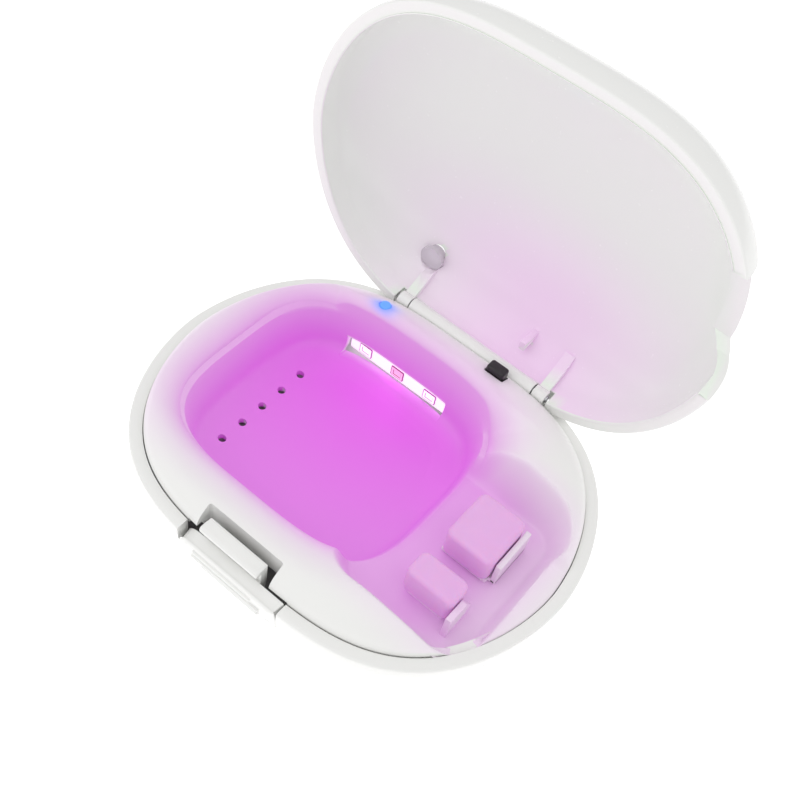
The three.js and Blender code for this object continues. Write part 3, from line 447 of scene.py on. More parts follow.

# ---------------------------------------------------------------- inner tray
# A second white ABS moulding dropped into the base: a soft dome with the deep brush well, the
# shallower neck trough and the channel the handle leaves by. The lamp strip's magenta light is
# painted on it as colour and emission.
TRAY_EDGE, TRAY_CROWN, TRAY_POWER, TRAY_SKIN = 2.8, 8.5, 2.3, 1.4
WELL_X, WELL_Y = -9.25, 1.45
WELL_HALF_X, WELL_HALF_Y, WELL_POWER, WELL_DEPTH = 29.25, 23.95, 3.6, 12.0
WALL_IN = (0.9, -0.2)  # how far in the top of the well's wall is, at the ends and at the sides
VENT_X, VENT_RADIUS = -27.5, 0.9
MOUTH_ROUND = (2.6, 9.0)  # at the upright rear wall, and round the front and the ends
MOUTH_DROP, ARC_PULL = 0.9, 1.66  # where the roll starts, and the tangents that make a cubic round
TRAY_SIDES = 600
NECK_BOX, NECK_FLOOR, NECK_SOFT = (12.0, 38.5, -21.0, 11.8), -4.5, 4.6
EXIT_BOX, EXIT_SOFT = (30.0, 60.0, -20.6, 4.4), 4.6
STRIP_Z = -8.5
LAMP = (-11.2, 24.0, STRIP_Z)

all_round = np.linspace(-np.pi, np.pi, 8001)[:-1] + 1e-6
edge_line = oval(HALF_LENGTH, HALF_WIDTH, END_POWER, SIDE_POWER, TRAY_EDGE, all_round)
edge_angle = np.arctan2(edge_line[:, 1], edge_line[:, 0])
edge_order = np.argsort(edge_angle)
edge_angle = edge_angle[edge_order]
edge_reach = np.hypot(*edge_line.T)[edge_order]


def edge_share(x, y):
    """How far out a point lies, from 0 in the middle to 1 at the tray's edge on the same ray."""
    return np.hypot(x, y) / np.interp(np.arctan2(y, x), edge_angle, edge_reach, period=2 * np.pi)


def crown_height(share):
    """Height of the tray's dome: share^p + (height/crown)^p = 1."""
    return TRAY_CROWN * (1 - np.clip(share, 0, 1) ** TRAY_POWER) ** (1 / TRAY_POWER)


def well_line(ends, sides, turn):
    """The well's outline, drawn in at its ends and sides."""
    flat = oval(WELL_HALF_X - ends, WELL_HALF_Y - sides, WELL_POWER, WELL_POWER, 0, turn)
    return flat + (WELL_X, WELL_Y)


def eased(knots, values, at):
    """Values between knots on cubic curves, whose slope at a knot is the mean of both sides'."""
    values = np.asarray(values, float)
    slope = np.gradient(values, knots)
    k = np.clip(np.searchsorted(knots, at, side="right") - 1, 0, len(knots) - 2)
    gap = np.diff(knots)[k]
    u = (at - np.asarray(knots)[k]) / gap
    start = (2 * u**3 - 3 * u**2 + 1) * values[k] + (u**3 - 2 * u**2 + u) * gap * slope[k]
    return start + (3 * u**2 - 2 * u**3) * values[k + 1] + (u**3 - u**2) * gap * slope[k + 1]


def smooth_least(a, b, soft):
    """The lesser of two heights, with the corner between them rounded over a height of soft."""
    blend = np.clip(0.5 + 0.5 * (b - a) / soft, 0, 1)
    return b * (1 - blend) + a * blend - soft * blend * (1 - blend)


def smooth_step(low, high, value):
    """0 below low, 1 above high and 3t^2 - 2t^3 between them."""
    t = np.clip((value - low) / (high - low), 0, 1)
    return t * t * (3 - 2 * t)


def past_box(x, y, box, corner):
    """Distance outside a rounded rectangle, and 0 inside it."""
    x0, x1, y0, y1 = box
    out_x = np.abs(x - (x0 + x1) / 2) - (x1 - x0) / 2 + corner
    out_y = np.abs(y - (y0 + y1) / 2) - (y1 - y0) / 2 + corner
    return np.maximum(np.hypot(np.maximum(out_x, 0), np.maximum(out_y, 0)) - corner, 0)


def trough_height(x, y):
    """The neck trough and exit channel: flat floors whose walls rise as the square of the distance."""
    neck = NECK_FLOOR + 13 * (past_box(x, y, NECK_BOX, 5) / NECK_SOFT) ** 2
    way_out = 13 * (past_box(x, y, EXIT_BOX, 1.5) / EXIT_SOFT) ** 2
    return smooth_least(neck, way_out, 0.8)


def mouth_radius(turn):
    """The rim's rounding at each turn: small along the rear wall, large elsewhere."""
    rear = smooth_step(0.5, 0.85, np.sin(turn)) * smooth_step(-0.8, -0.35, np.cos(turn))
    wall_line = well_line(*WALL_IN, turn)
    room = np.hypot(*wall_line.T) * (1 / edge_share(*wall_line.T) - 1)
    return np.minimum(MOUTH_ROUND[1] + (MOUTH_ROUND[0] - MOUTH_ROUND[1]) * rear, 0.8 * room)


def rolled_rim(turn, share):
    """The well's mouth rolled outwards by a share of its rounding."""
    out = mouth_radius(turn) * share
    flat = well_line(*WALL_IN, turn)
    wider = well_line(WALL_IN[0] - 1, WALL_IN[1] - 1, turn)
    return flat + (wider - flat) * out[:, None]


fine_turn = np.linspace(0, 2 * np.pi, 20001) + 1e-7
mouth = rolled_rim(fine_turn, 1.0)
outer = mouth / edge_share(*mouth.T)[:, None]
steps = [np.hypot(*np.diff(line, axis=0, prepend=line[:1]).T) for line in (mouth, outer)]
run = np.cumsum(steps[0] + steps[1])
turns = np.interp(np.linspace(0, run[-1], TRAY_SIDES, endpoint=False), run, fine_turn)


def level_ring(flat, height):
    """A ring of flat points at one height, or at a height each."""
    return np.column_stack([flat, np.broadcast_to(height, len(flat))])


mouth = rolled_rim(turns, 1.0)
mouth_share = edge_share(*mouth.T)
# The well's wall from its floor to its top: how far in at its ends and at its sides, and its height.
WALL_KNOTS = (0, 0.2, 0.4, 0.65, 1)
WALL_ROWS = ((11, 8.6, 5.2, 3.8, 2.2), (6.5, 3.2, 0.8, 0.3, 0), (-WELL_DEPTH, -11.2, -9.4, -6, 0))
foot_line = well_line(WALL_ROWS[0][0], WALL_ROWS[1][0], turns)
tray_rings = [level_ring((WELL_X, WELL_Y) + (foot_line - (WELL_X, WELL_Y)) * share, -WELL_DEPTH)
              for share in np.linspace(0.15, 1, 7)[:-1]]
for at in np.linspace(0, 1, 22):
    ends, sides, low = (eased(WALL_KNOTS, row, at) for row in WALL_ROWS)
    tray_rings.append(level_ring(well_line(ends, sides, turns), low))
wall_crown = crown_height(edge_share(*well_line(*WALL_IN, turns).T))
top_of_wall = np.maximum(wall_crown - MOUTH_DROP * mouth_radius(turns), 0.3)
for at in np.linspace(0, 1, 7)[1:]:
    end_in = WALL_ROWS[0][-1] + (WALL_IN[0] - WALL_ROWS[0][-1]) * at
    tray_rings.append(level_ring(well_line(end_in, WALL_IN[1] * at, turns), top_of_wall * at))
mouth_high = crown_height(mouth_share)
past_mouth = crown_height(edge_share(*rolled_rim(turns, 1.02).T))
fall = (past_mouth - mouth_high) / 0.02
climb = mouth_high - top_of_wall
for t in np.linspace(0, 1, 20)[1:]:
    ease, start_pull, end_pull = 3 * t**2 - 2 * t**3, t**3 - 2 * t**2 + t, t**3 - t**2
    height = top_of_wall + climb * (ease + ARC_PULL * start_pull) + fall * end_pull
    tray_rings.append(level_ring(rolled_rim(turns, ease + end_pull), height))
lean = np.arccos(np.clip(mouth_share, 0, 1) ** (TRAY_POWER / 2))
for at in np.linspace(1, 0, 46)[1:]:
    share = np.cos(lean * at) ** (2 / TRAY_POWER)
    flat = mouth * (share / mouth_share)[:, None]
    tray_rings.append(level_ring(flat, TRAY_CROWN * np.sin(lean * at) ** (2 / TRAY_POWER)))
tray_rings = np.stack(tray_rings)
trough = trough_height(tray_rings[..., 0], tray_rings[..., 1])
tray_rings[..., 2] = smooth_least(tray_rings[..., 2], trough, 3.2)
skirt = tray_rings[-1] * (0.993, 0.993, 0) + (0, 0, -1.5)
tray_rings = np.concatenate([tray_rings, skirt[None]])
along = np.roll(tray_rings, -1, axis=1) - np.roll(tray_rings, 1, axis=1)
normal = np.cross(np.gradient(tray_rings, axis=0), along)
normal /= np.linalg.norm(normal, axis=-1, keepdims=True) + 1e-12
under = tray_rings - TRAY_SKIN * normal
under[-1] = skirt * (0.965, 0.965, 1)
coarse = np.append(np.arange(0, len(under) - 1, 3), len(under) - 1)  # the hidden side needs fewer rings
tray_solid = skin(np.concatenate([under[coarse], tray_rings[::-1]]),
                  (WELL_X, WELL_Y, -WELL_DEPTH - TRAY_SKIN), (WELL_X, WELL_Y, -WELL_DEPTH))
tray = lay("inner_tray_moulding", tray_solid)
vent_rows = [(VENT_RADIUS, -15), (VENT_RADIUS, -10)]
vents = [turned(vent_rows, (VENT_X, y, 0), sides=24) for y in (-12, -6, 0, 6, 12)]
pocket_wall = prism([(-33.4, -1.0), (-29.6, -1.0), (-29.6, 4.2), (-31.2, 3.4), (-33.4, 1.9)], -12.7, 7.7, "x")
carve(tray, [pocket_wall], "UNION")
lamp_slot = soft_block((-24.7, 21, -10.7), (2.3, 29.5, -6.3), 0.3, 0.1, "y")
light_hole = turned([(1.45, -4), (1.45, 12)], (*INDICATOR, 0))
switch_hole = soft_block((6.1, 29.4, -4), (10.9, 32.6, 12), 0.5, 0.1)
hook_pocket = soft_block((-11.5, -40, -6), (6.5, -31.1, 12), 0.5, 0.1)
rim_pocket = soft_block((-13.8, -40, -4), (10.8, -32.9, 0.3), 0.2, 0.1)
pad_slot = soft_block((23.6, -1.0, -8), (26.6, 8.4, -3), 0.3, 0.1)
HINGE_CUT, BARREL_ROOM = (-20.8, 20.0), 2.15
barrel_room = bar(BARREL_ROOM, *HINGE_CUT, HINGE_Y, HINGE_Z, 0.1)
carve(tray, [*vents, lamp_slot, light_hole, switch_hole, hook_pocket, rim_pocket, pad_slot, barrel_room])
plinth = soft_block((23.8, -16.1, -5), (32.4, -11.7, -3.3), 0.6, 0.3)
plinth_rib = prism([(-18.5, -5), (-11.3, -5), (-11.3, -1.5), (-13.5, 1.6), (-18.5, 2.0)], 33.7, 34.9, "x")
carve(tray, [plinth, plinth_rib], "UNION")


def case_points(piece):
    """A piece's vertices in case millimetres."""
    flat = np.zeros(len(piece.data.vertices) * 3, np.float32)
    piece.data.vertices.foreach_get("co", flat)
    return flat.reshape(-1, 3) * 1000.0 - (0, 0, RIM_HEIGHT)


def set_share(piece, name, values):
    """A point attribute that a material reads."""
    layer = piece.data.attributes.new(name, "FLOAT", "POINT")
    layer.data.foreach_set("value", np.asarray(values, np.float32))


def facing(piece):
    """A piece's vertex normals."""
    flat = np.zeros(len(piece.data.vertices) * 3, np.float32)
    piece.data.vertices.foreach_get("normal", flat)
    return flat.reshape(-1, 3)


def painted_well_light(points, normals):
    """Share of the lamp strip's magenta light that is painted on the tray: full low in the well,
    fading up its walls, over its rim, along the neck trough and with the distance from the lamp
    strip, on the sides that face the lamp, and full in the vent holes."""
    x, y, z = points.T
    end_share = np.abs((x - WELL_X) / WELL_HALF_X)
    side_share = np.abs((y - WELL_Y) / WELL_HALF_Y)
    past_well = ((end_share**WELL_POWER + side_share**WELL_POWER) ** (1 / WELL_POWER) - 1) * WELL_HALF_Y
    past_neck = past_box(x, y, (5, 40, -20, 11), 5) - 1.0
    rim_fade = 1 - smooth_step(-4.5, 10.5, np.minimum(past_well, past_neck))
    sunk = 1 - smooth_step(-11, 8.5, z)
    far = np.linalg.norm(points - LAMP, axis=1)
    reach = np.exp(-((far / 46) ** 2))
    run_out = 1 - 0.45 * smooth_step(20, 44, x)
    inward = np.array([WELL_X, WELL_Y]) - points[:, :2]
    inward /= np.linalg.norm(inward, axis=1, keepdims=True) + 1e-9
    lit_side = smooth_step(-0.05, 0.1, normals[:, 2] + 0.35 * np.sum(normals[:, :2] * inward, axis=1))
    share = rim_fade * (0.58 + 0.42 * sunk) * (0.68 + 0.32 * reach) * run_out * lit_side
    in_vent = (np.abs(x - VENT_X) < 1.2) & (z < -12.1) & (z > -13.3)
    return np.where(in_vent, 1.0, share)


tray_points = case_points(tray)
set_share(tray, "lamp_and_painted_light", painted_well_light(tray_points, facing(tray)))
# Painted light: a pool of the indicator's blue light, painted into the tray's colour and emission round the
# light pipe.
PAINTED_BLUE_LIGHT_REACH = 2.9  # the blue light round the indicator, on the rim's top only
from_light = np.hypot(*(tray_points[:, :2] - INDICATOR).T)
set_share(tray, "painted_blue_light", np.exp(-((from_light / PAINTED_BLUE_LIGHT_REACH) ** 2)) * smooth_step(3.6, 5.2, tray_points[:, 2]))
# Painted light: the share tints the white tray towards magenta and gives it a weak magenta emission, standing
# in for the lamp strip's light falling on it.
PAINTED_MAGENTA_LIGHT_STOPS = [(0.0, "#F4F4F2"), (1.0, "#DE62E2"), (0.2, "#F3E4F3"), (0.5, "#E9B6EB"), (0.78, "#E08CE4")]
abs_with_painted_magenta_light = paint("white_abs_with_painted_magenta_light", "#F4F4F2", 0.36, grain=(0.0009, 0.000004, 0.03),
                lamp_and_painted_light=(PAINTED_MAGENTA_LIGHT_STOPS, 0.16), IOR=1.53, Coat_Weight=0.12, Coat_Roughness=0.2)
tree = abs_with_painted_magenta_light.node_tree
shader = tree.nodes["Principled BSDF"]
# The painted blue light is mixed over the magenta in base and emission colour, and adds emission.
painted_blue_light = add_node(tree, "ShaderNodeAttribute", {"attribute_name": "painted_blue_light"}).outputs["Fac"]
for socket in ("Base Color", "Emission Color"):
    source = shader.inputs[socket].links[0].from_socket
    mix = add_node(tree, "ShaderNodeMix", {"data_type": "RGBA"})
    tree.links.new(painted_blue_light, mix.inputs["Factor"])
    tree.links.new(source, mix.inputs[6])
    mix.inputs[7].default_value = srgb("#4A8CFF")
    tree.links.new(mix.outputs[2], shader.inputs[socket])
power = shader.inputs["Emission Strength"].links[0].from_socket
more = add_node(tree, "ShaderNodeMath", {"operation": "MULTIPLY_ADD"})
tree.links.new(painted_blue_light, more.inputs[0])
more.inputs[1].default_value = 0.3
tree.links.new(power, more.inputs[2])
tree.links.new(more.outputs[0], shader.inputs["Emission Strength"])
finish_piece(tray, "case", "white_abs", abs_with_painted_magenta_light, "inner_tray")

# ---------------------------------------------------------------- lamp strip
# A white solder-masked board in a slot of the well's rear wall, with three UV-C emitters in
# square ceramic frames under clear windows. The board's pink tint and near-white emission are
# the emitters' light painted on it.
strip_board = soft_block((-25.1, 27.05, -10.6), (2.7, 27.75, -6.4), 0.3, 0.1, "y")
strip_front = soft_block((-24.5, 25.35, -10.55), (2.1, 27.1, -6.45), 0.25, 0.12, "y")
strip = lay("uv_led_strip", together(strip_board, strip_front))
painted_light_white_mask = paint("white_solder_mask_with_painted_light", "#F6E9F7", 0.45, grain=(0.0008, 0.00001, 0.05))
light_up(painted_light_white_mask, "#FBE4FB", 0.8)
finish_piece(strip, "case", "white_board", painted_light_white_mask, "uv_led_board")
# The dark ends of these ramps are painted shade on the chips' seams; the light ends are the emitters' own
# light.
CHIP_LIGHT_AND_PAINTED_SHADE_STOPS = [(0.0, "#C877B8"), (1.0, "#FFF4FF")]
ROSE_CHIP_LIGHT_AND_PAINTED_SHADE_STOPS = [(0.0, "#B45A96"), (1.0, "#F7BFD6")]
ceramic = paint("emitter_ceramic_and_window", "#F6E0F6", 0.18, lamp_and_painted_light=(CHIP_LIGHT_AND_PAINTED_SHADE_STOPS, 0.75), Coat_Weight=0.4)
rose_ceramic = paint("middle_emitter_ceramic", "#F3C4DA", 0.18, lamp_and_painted_light=(ROSE_CHIP_LIGHT_AND_PAINTED_SHADE_STOPS, 0.5), Coat_Weight=0.4)
# Rows of a chip's stack: how far in, how deep, and 1 where the emitter gives its own light or 0 on an outline
# of painted shade in the seams and recess edges.
chip_rows = [(1.0, 0.12, 1), (0.84, 0.12, 1), (0.82, 0.1, 0), (0.74, 0.0, 0), (0.72, 0.0, 1), (0.24, 0.0, 1),
             (0.22, 0.0, 0), (0.05, 0.03, 0), (0.0, 0.1, 0), (0.0, 1.7, 0)]
chip_shape = [(inset, depth) for inset, depth, _ in chip_rows]
CHIP_FRONT = 25.12
for k, x in enumerate((-20.2, -11.2, -2.2)):
    led = lay(f"uv_emitter_{k + 1}", stack(chip_shape, 1.5, 1.75, 0.35, (x, CHIP_FRONT, STRIP_Z), "y"))
    tones = np.repeat([tone for _, _, tone in chip_rows], 32)
    set_share(led, "lamp_and_painted_light", np.append(tones, [1, 0]))
    finish_piece(led, "case", "led", rose_ceramic if k == 1 else ceramic, f"uv_led_{k + 1}")

lamp_light = bpy.data.objects.new("strip_light", bpy.data.lights.new("strip_light", "AREA"))
lamp_light.data.shape = "RECTANGLE"
lamp_light.data.size, lamp_light.data.size_y = 0.026, 0.004
lamp_light.data.energy = 0.0004
lamp_light.data.color = srgb("#F06CF2")[:3]
spot = Vector(place([(-11.2, 24.6, STRIP_Z)])[0])
turn = Vector((0, 1, 0.1)).to_track_quat("Z", "X").to_matrix().to_4x4()
lamp_light.matrix_world = Matrix.Translation(spot) @ turn
bpy.context.scene.collection.objects.link(lamp_light)
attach(lamp_light, "case")

# ---------------------------------------------------------------- lid switch and indicator
# A black ABS plunger with softened edges stands on a small switch; beside it a clear
# blue light pipe carries the charge light through the tray's rim.
black_abs = paint("black_satin_abs", "#1C141C", 0.36, grain=(0.0005, 0.000008, 0.06), IOR=1.53)
switch_body = lay("lid_switch_body", soft_block((5.5, 29.4, -3.9), (11.5, 32.2, -0.6), 0.3, 0.15))
finish_piece(switch_body, "case", "black_plastic", black_resin, "lid_switch")
low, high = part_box("lid_switch_plunger")
plunger_low = low.z * 1000 - RIM_HEIGHT
plunger_high = high.z * 1000 - RIM_HEIGHT
cap = soft_block((6.35, 29.65, plunger_low), (10.65, 32.35, plunger_high), 0.6, 0.45)
plunger = lay("lid_switch_cap", cap)
finish_piece(plunger, "plunger", "black_plastic", black_abs, "lid_switch_plunger")
blue = light_up(paint("lit_blue_light_pipe", "#5A8CE8", 0.3, IOR=1.49), "#5C9AFF", 0.55)
pipe_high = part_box("indicator_lens")[1].z * 1000 - RIM_HEIGHT
pipe_rows = [(1.2, -2.8), (1.3, -2.7), (1.3, pipe_high - 0.5), (1.15, pipe_high - 0.2)]
pipe_rows += [(0.7, pipe_high - 0.03), (0.2, pipe_high)]
pipe = lay("indicator_light_pipe", turned(pipe_rows, (*INDICATOR, 0)))
finish_piece(pipe, "case", "blue_light", blue, "indicator_lens")
indicator_chip = lay("indicator_chip", soft_block((-20.2, 28.2, -3.9), (-18.6, 29.8, -3.2), 0.1, 0.1))
finish_piece(indicator_chip, "case", "led", blue, "indicator_led")

# ---------------------------------------------------------------- brush clamp
# Two soft silicone blocks hold the brush neck: one on a plinth of the tray, the other on a white
# slider that a small compression spring pushes forwards.
# Painted light: the pads' pink base colour stands for the lamp's magenta light falling on them.
silicone = paint("matte_silicone_with_painted_lamp_light", "#F0BAF0", 0.48, cloud=(0.004, 0.05),
                 grain=(0.0005, 0.000012, 0.05), IOR=1.41, Subsurface_Weight=0.25, Subsurface_Scale=0.002,
                 Sheen_Weight=0.15)
front_pad = lay("front_clamp_block", soft_block((22.8, -16.9, -3.0), (33.4, -10.9, 3.9), 1.4, 0.9))
finish_piece(front_pad, "case", "silicone", silicone, "front_clamp_pad")
rear_pad = lay("rear_clamp_block", soft_block((23.3, -5.7, -3.0), (33.9, 6.9, 3.9), 1.7, 1.0))
finish_piece(rear_pad, "clamp", "silicone", silicone, "rear_clamp_pad")
slider_seat = soft_block((23.3, -4.8, -4.2), (33.9, 6.5, -3.3), 0.4, 0.15)
slider_ledge = soft_block((33.4, -3.8, -4.2), (35.4, 6.5, -3.3), 0.3, 0.15)
slider_rail = soft_block((34.2, -3.8, -4.15), (35.4, 6.5, 2.0), 0.25, 0.25)
slider_leg = soft_block((23.9, -0.7, -10.6), (26.3, 1.3, -3.7), 0.3, 0.15)
slider = lay("rear_clamp_carrier", together(slider_seat, slider_ledge, slider_rail, slider_leg))
# Painted light: a copy of the white ABS tinted pink for the lamp light falling on the slider.
abs_with_painted_pink_light = paint("white_abs_with_painted_pink_light", "#F3E6F3", 0.3, grain=(0.0009, 0.000004, 0.03), IOR=1.53)
finish_piece(slider, "clamp", "white_abs", abs_with_painted_pink_light, "rear_clamp_slider")

# Drawn spring wire: bright steel with a faint fine grain.
spring_steel = paint("drawn_spring_steel", "#B9BCC0", 0.3, grain=(0.0002, 0.000004, 0.08), Metallic=1.0)


def coil(radius, wire, length, turns_of_wire, start, axis, sides=10, steps=36):
    """A helix of round wire: a circle carried at right angles along radius (cos t, sin t) with a
    steady rise, its two end turns closed flat against the seats."""
    t = np.linspace(0, 2 * np.pi * turns_of_wire, int(turns_of_wire * steps))
    rise = wire + (length - 2 * wire) * smooth_step(-0.12, 1.12, t / t[-1])
    spine = np.stack([radius * np.cos(t), radius * np.sin(t), rise], axis=-1)
    outward = np.stack([np.cos(t), np.sin(t), np.zeros_like(t)], axis=-1)
    ahead_of = np.gradient(spine, axis=0)
    ahead_of /= np.linalg.norm(ahead_of, axis=-1, keepdims=True)
    side_of = np.cross(ahead_of, outward)
    a = np.linspace(0, 2 * np.pi, sides, endpoint=False)[None, :, None]
    rings = spine[:, None] + wire * (outward[:, None] * np.cos(a) + side_of[:, None] * -np.sin(a))
    points, faces = skin(rings, spine[0], spine[-1])
    return points[:, ALONG[axis]] + start, faces


clamp_coil = lay("clamp_spring_wire", coil(1.5, 0.25, 7.9, 6, (25.1, 1.6, -8.6), "y"))
finish_piece(clamp_coil, "case", "spring_steel", spring_steel, "clamp_spring")
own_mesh(clamp_coil)

# ---------------------------------------------------------------- latch button
# One white ABS piece: a D-shaped push pad set in the front of the case, with three long grip
# ribs, and the hook bar behind the rim that holds the lid. A small spring pushes it out.
PAD_HALF, PAD_DEPTH, PAD_PROUD = 12.0, 8.4, 0.35


def case_front(x, z):
    """y of the base's outside at a point of its front: the outline's own formula, at the scale
    that the dome has at that depth."""
    scale = (1 - (np.abs(z) / BASE_DEPTH) ** DOME_POWER) ** (1 / DOME_POWER)
    return -HALF_WIDTH * scale * (1 - (np.abs(x) / (HALF_LENGTH * scale)) ** END_POWER) ** (1 / SIDE_POWER)


pad_corners = [0.3, 0.3, 4.0, 4.0]
pad_round = fillet(0.5, 5)
inner_ring = rounded_ring(PAD_DEPTH / 2, PAD_HALF, pad_corners, 0.5)
pad_rows = [(inner_ring * share, 0.0) for share in np.linspace(0.12, 1, 9)]
for run, drop in pad_round[::-1][1:]:
    pad_rows.append((rounded_ring(PAD_DEPTH / 2, PAD_HALF, pad_corners, drop), run))
edge_ring = rounded_ring(PAD_DEPTH / 2, PAD_HALF, pad_corners)
pad_rings = []
for ring, sunk in pad_rows:
    z, x = ring[:, 0] - PAD_DEPTH / 2, ring[:, 1] + BUTTON_X
    pad_rings.append(np.column_stack([x, case_front(x, z) - PAD_PROUD + sunk, z]))
for shrink, behind in ((1.0, 2.4), (0.6, 2.5)):
    ring = edge_ring * shrink
    z, x = ring[:, 0] - PAD_DEPTH / 2, ring[:, 1] + BUTTON_X
    pad_rings.append(np.column_stack([x, case_front(x, z) + behind, z]))
front_pole = (BUTTON_X, case_front(BUTTON_X, -4.2) - PAD_PROUD, -4.2)
pad = skin(np.stack(pad_rings), front_pole, (BUTTON_X, case_front(BUTTON_X, -4.2) + 2.5, -4.2))
ribs = []
for z, half, shift in ((-2.0, 7.2, -0.6), (-4.1, 8.4, 0.0), (-6.2, 7.2, 1.0)):
    rib_y = case_front(BUTTON_X, z) - PAD_PROUD + 0.12
    ribs.append(bar(0.5, BUTTON_X - half + shift, BUTTON_X + half + shift, rib_y, z, 0.45))
stem = soft_block((-9.5, -34.7, -5), (4.5, -32.9, 4.0), 0.25, 0.5)
nose = soft_block((-9.5, -36.1, 2.3), (4.5, -33.4, 4.0), 0.75, 0.35, "x")
web = soft_block((-9.5, -35.8, -5), (4.5, -33.4, -0.5), 0.2, 0.1)
button = lay("latch_button_moulding", pad)
carve(button, [web, stem, nose, *ribs], "UNION")
finish_piece(button, "button", "white_abs", gloss_abs, "latch_button")
latch_coil = lay("latch_spring_wire", coil(1.4, 0.25, 3.4, 4, (-2.5, -32.6, -3), "y"))
finish_piece(latch_coil, "case", "spring_steel", spring_steel, "latch_spring")
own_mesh(latch_coil)

# ---------------------------------------------------------------- lid
# The domed white ABS lid: a flat rim with a notch the handle passes through, two hinge arms
# with thin fins, a pocket for the latch hook and a clear window over the indicator. It is
# worked out in its closed place and then swung open about the hinge.
LID_DEPTH, LID_GAP, LID_RIM = 19.0, 0.3, 2.5


def lid_height(x, y):
    """Height of the lid's outside, closed, by halving the range of the scale whose outline
    passes through the point."""
    least, most = 0.0, 1.0
    for _ in range(30):
        scale = (least + most) / 2
        past = (abs(x) / (HALF_LENGTH * scale)) ** END_POWER + (abs(y) / (HALF_WIDTH * scale)) ** SIDE_POWER
        least, most = (scale, most) if past > 1 else (least, scale)
    return LID_GAP + LID_DEPTH * (1 - most**DOME_POWER) ** (1 / DOME_POWER)


lid_out = shell_rows(LID_DEPTH, 0, (np.pi / 2) * np.linspace(0, 0.99, 34) ** 1.25)
lid_out = [(0, scale, LID_GAP + rise) for _, scale, rise in lid_out if rise > 0.4]
lid_edge = [(run, 1, LID_GAP + drop) for run, drop in fillet(0.35, 5)[::-1]]
lid_lip = [(LID_RIM - run, 1, LID_GAP + drop) for run, drop in fillet(0.3, 4)]
lid_in = shell_rows(LID_DEPTH, WALL, (np.pi / 2) * np.linspace(0.1, 0.985, 30))
lid_in = [(inset, scale, LID_GAP + rise) for inset, scale, rise in lid_in][::-1]
lid_rings = np.stack([case_ring(*row) for row in lid_in + lid_lip[::-1] + lid_edge + lid_out])
LID_TOP = LID_GAP + LID_DEPTH
lid = lay("lid_shell_moulding", skin(lid_rings, (0, 0, LID_TOP - WALL), (0, 0, LID_TOP)))

notch = prism([(-20.6, -1), (7.4, -1), (3.4, 9), (1.4, 11), (-18.6, 11), (-20.6, 9)], 34, 49, "x")
under_room = soft_block((HINGE_CUT[0], 31, -1), (HINGE_CUT[1], 39, HINGE_Z), 0.1, 0.05)
bevel_high = HALF_WIDTH - HINGE_Y + HINGE_Z + 0.6
bevel_y = HINGE_Y + HINGE_Z - 0.3
bevel_room = soft_block((HINGE_CUT[0], bevel_y, -1), (HINGE_CUT[1], 39, bevel_high), 0.1, 0.05)
carve(lid, [notch, under_room, bevel_room, bar(BARREL_ROOM, *HINGE_CUT, HINGE_Y, HINGE_Z, 0.05)])
fin_line = [(HINGE_Y - 0.6, HINGE_Z), (HINGE_Y + 0.9, HINGE_Z), (HINGE_Y + 0.5, 5), (HINGE_Y - 0.7, 8.5),
            (HINGE_Y - 3.8, 12), (HINGE_Y - 5.6, 11), (HINGE_Y - 3.6, 8)]
arms = []
for x in (-18.5, 17.7):
    arms.append(bar(1.75, x - 1.5, x + 1.5, HINGE_Y, HINGE_Z))
    arms.append(prism(fin_line, x - 1.2, x + 1.2, "x"))
plunger_gap = plunger_high + 0.3
presser = soft_block((7.8, 30, plunger_gap), (9.2, 32.2, lid_height(8.5, 31) - 0.8), 0.3, 0.1)
carve(lid, [*arms, presser], "UNION")
WINDOW_RADIUS, BOSS_RADIUS = 2.8, 2.0
window_top = lid_height(INDICATOR[0], INDICATOR[1] + WINDOW_RADIUS) - 0.9
hook_catch = soft_block((-9.8, -36.6, 2.2), (4.8, -31.1, 4.4), 0.2, 0.1)
window_seat = turned([(3.0, 6), (3.0, window_top)], (*INDICATOR, 0))
window_hole = turned([(2.1, 6), (2.1, LID_DEPTH + 2)], (*INDICATOR, 0))
carve(lid, [bar(PIN_BORE, -24, 24, HINGE_Y, HINGE_Z, 0.01), hook_catch, window_seat, window_hole])


def swing_open(piece):
    """Turns a closed piece a quarter turn back about the hinge, in its mesh."""
    x, y, z = case_points(piece).T
    opened = np.stack([x, HINGE_Y + z - HINGE_Z, HINGE_Z - (y - HINGE_Y)], axis=-1)
    piece.data.vertices.foreach_set("co", place(opened).astype(np.float32).ravel())
    piece.data.update()


# Painted light: inside the lid, the magenta light thrown up from the well is painted on as colour and a weak
# emission, strongest near the lamp strip and left off round the hinge.
closed = case_points(lid)
x, y, z = closed.T
inside_lid = smooth_step(0.0, 0.25, -np.sum(facing(lid) * closed, axis=1) / np.linalg.norm(closed, axis=1))
near_lamp = smooth_step(-4, 34, y) * np.exp(-(((x - 8) / 34) ** 2))
on_hinge = 1 - smooth_step(1.9, 2.4, np.hypot(y - HINGE_Y, z - HINGE_Z))
set_share(lid, "lamp_and_painted_light", inside_lid * (1 - on_hinge) * (0.14 + 0.86 * near_lamp))
swing_open(lid)
# Painted light: the ramp runs from white to pink inside the lid; its faint green low stop offsets the pink
# bounce light on the lid's far inside.
LID_PAINTED_LIGHT_STOPS = [(0.0, "#F4F4F2"), (1.0, "#F3D3F3"), (0.14, "#EFF7ED"), (0.5, "#F3EAF2")]
lid_abs_with_painted_light = paint("lid_white_abs_with_painted_light", "#F4F4F2", 0.26, grain=(0.0009, 0.000004, 0.03),
                lamp_and_painted_light=(LID_PAINTED_LIGHT_STOPS, 0.1), IOR=1.53, Coat_Weight=0.3, Coat_Roughness=0.1)
finish_piece(lid, "lid", "white_abs", lid_abs_with_painted_light, "lid_shell")

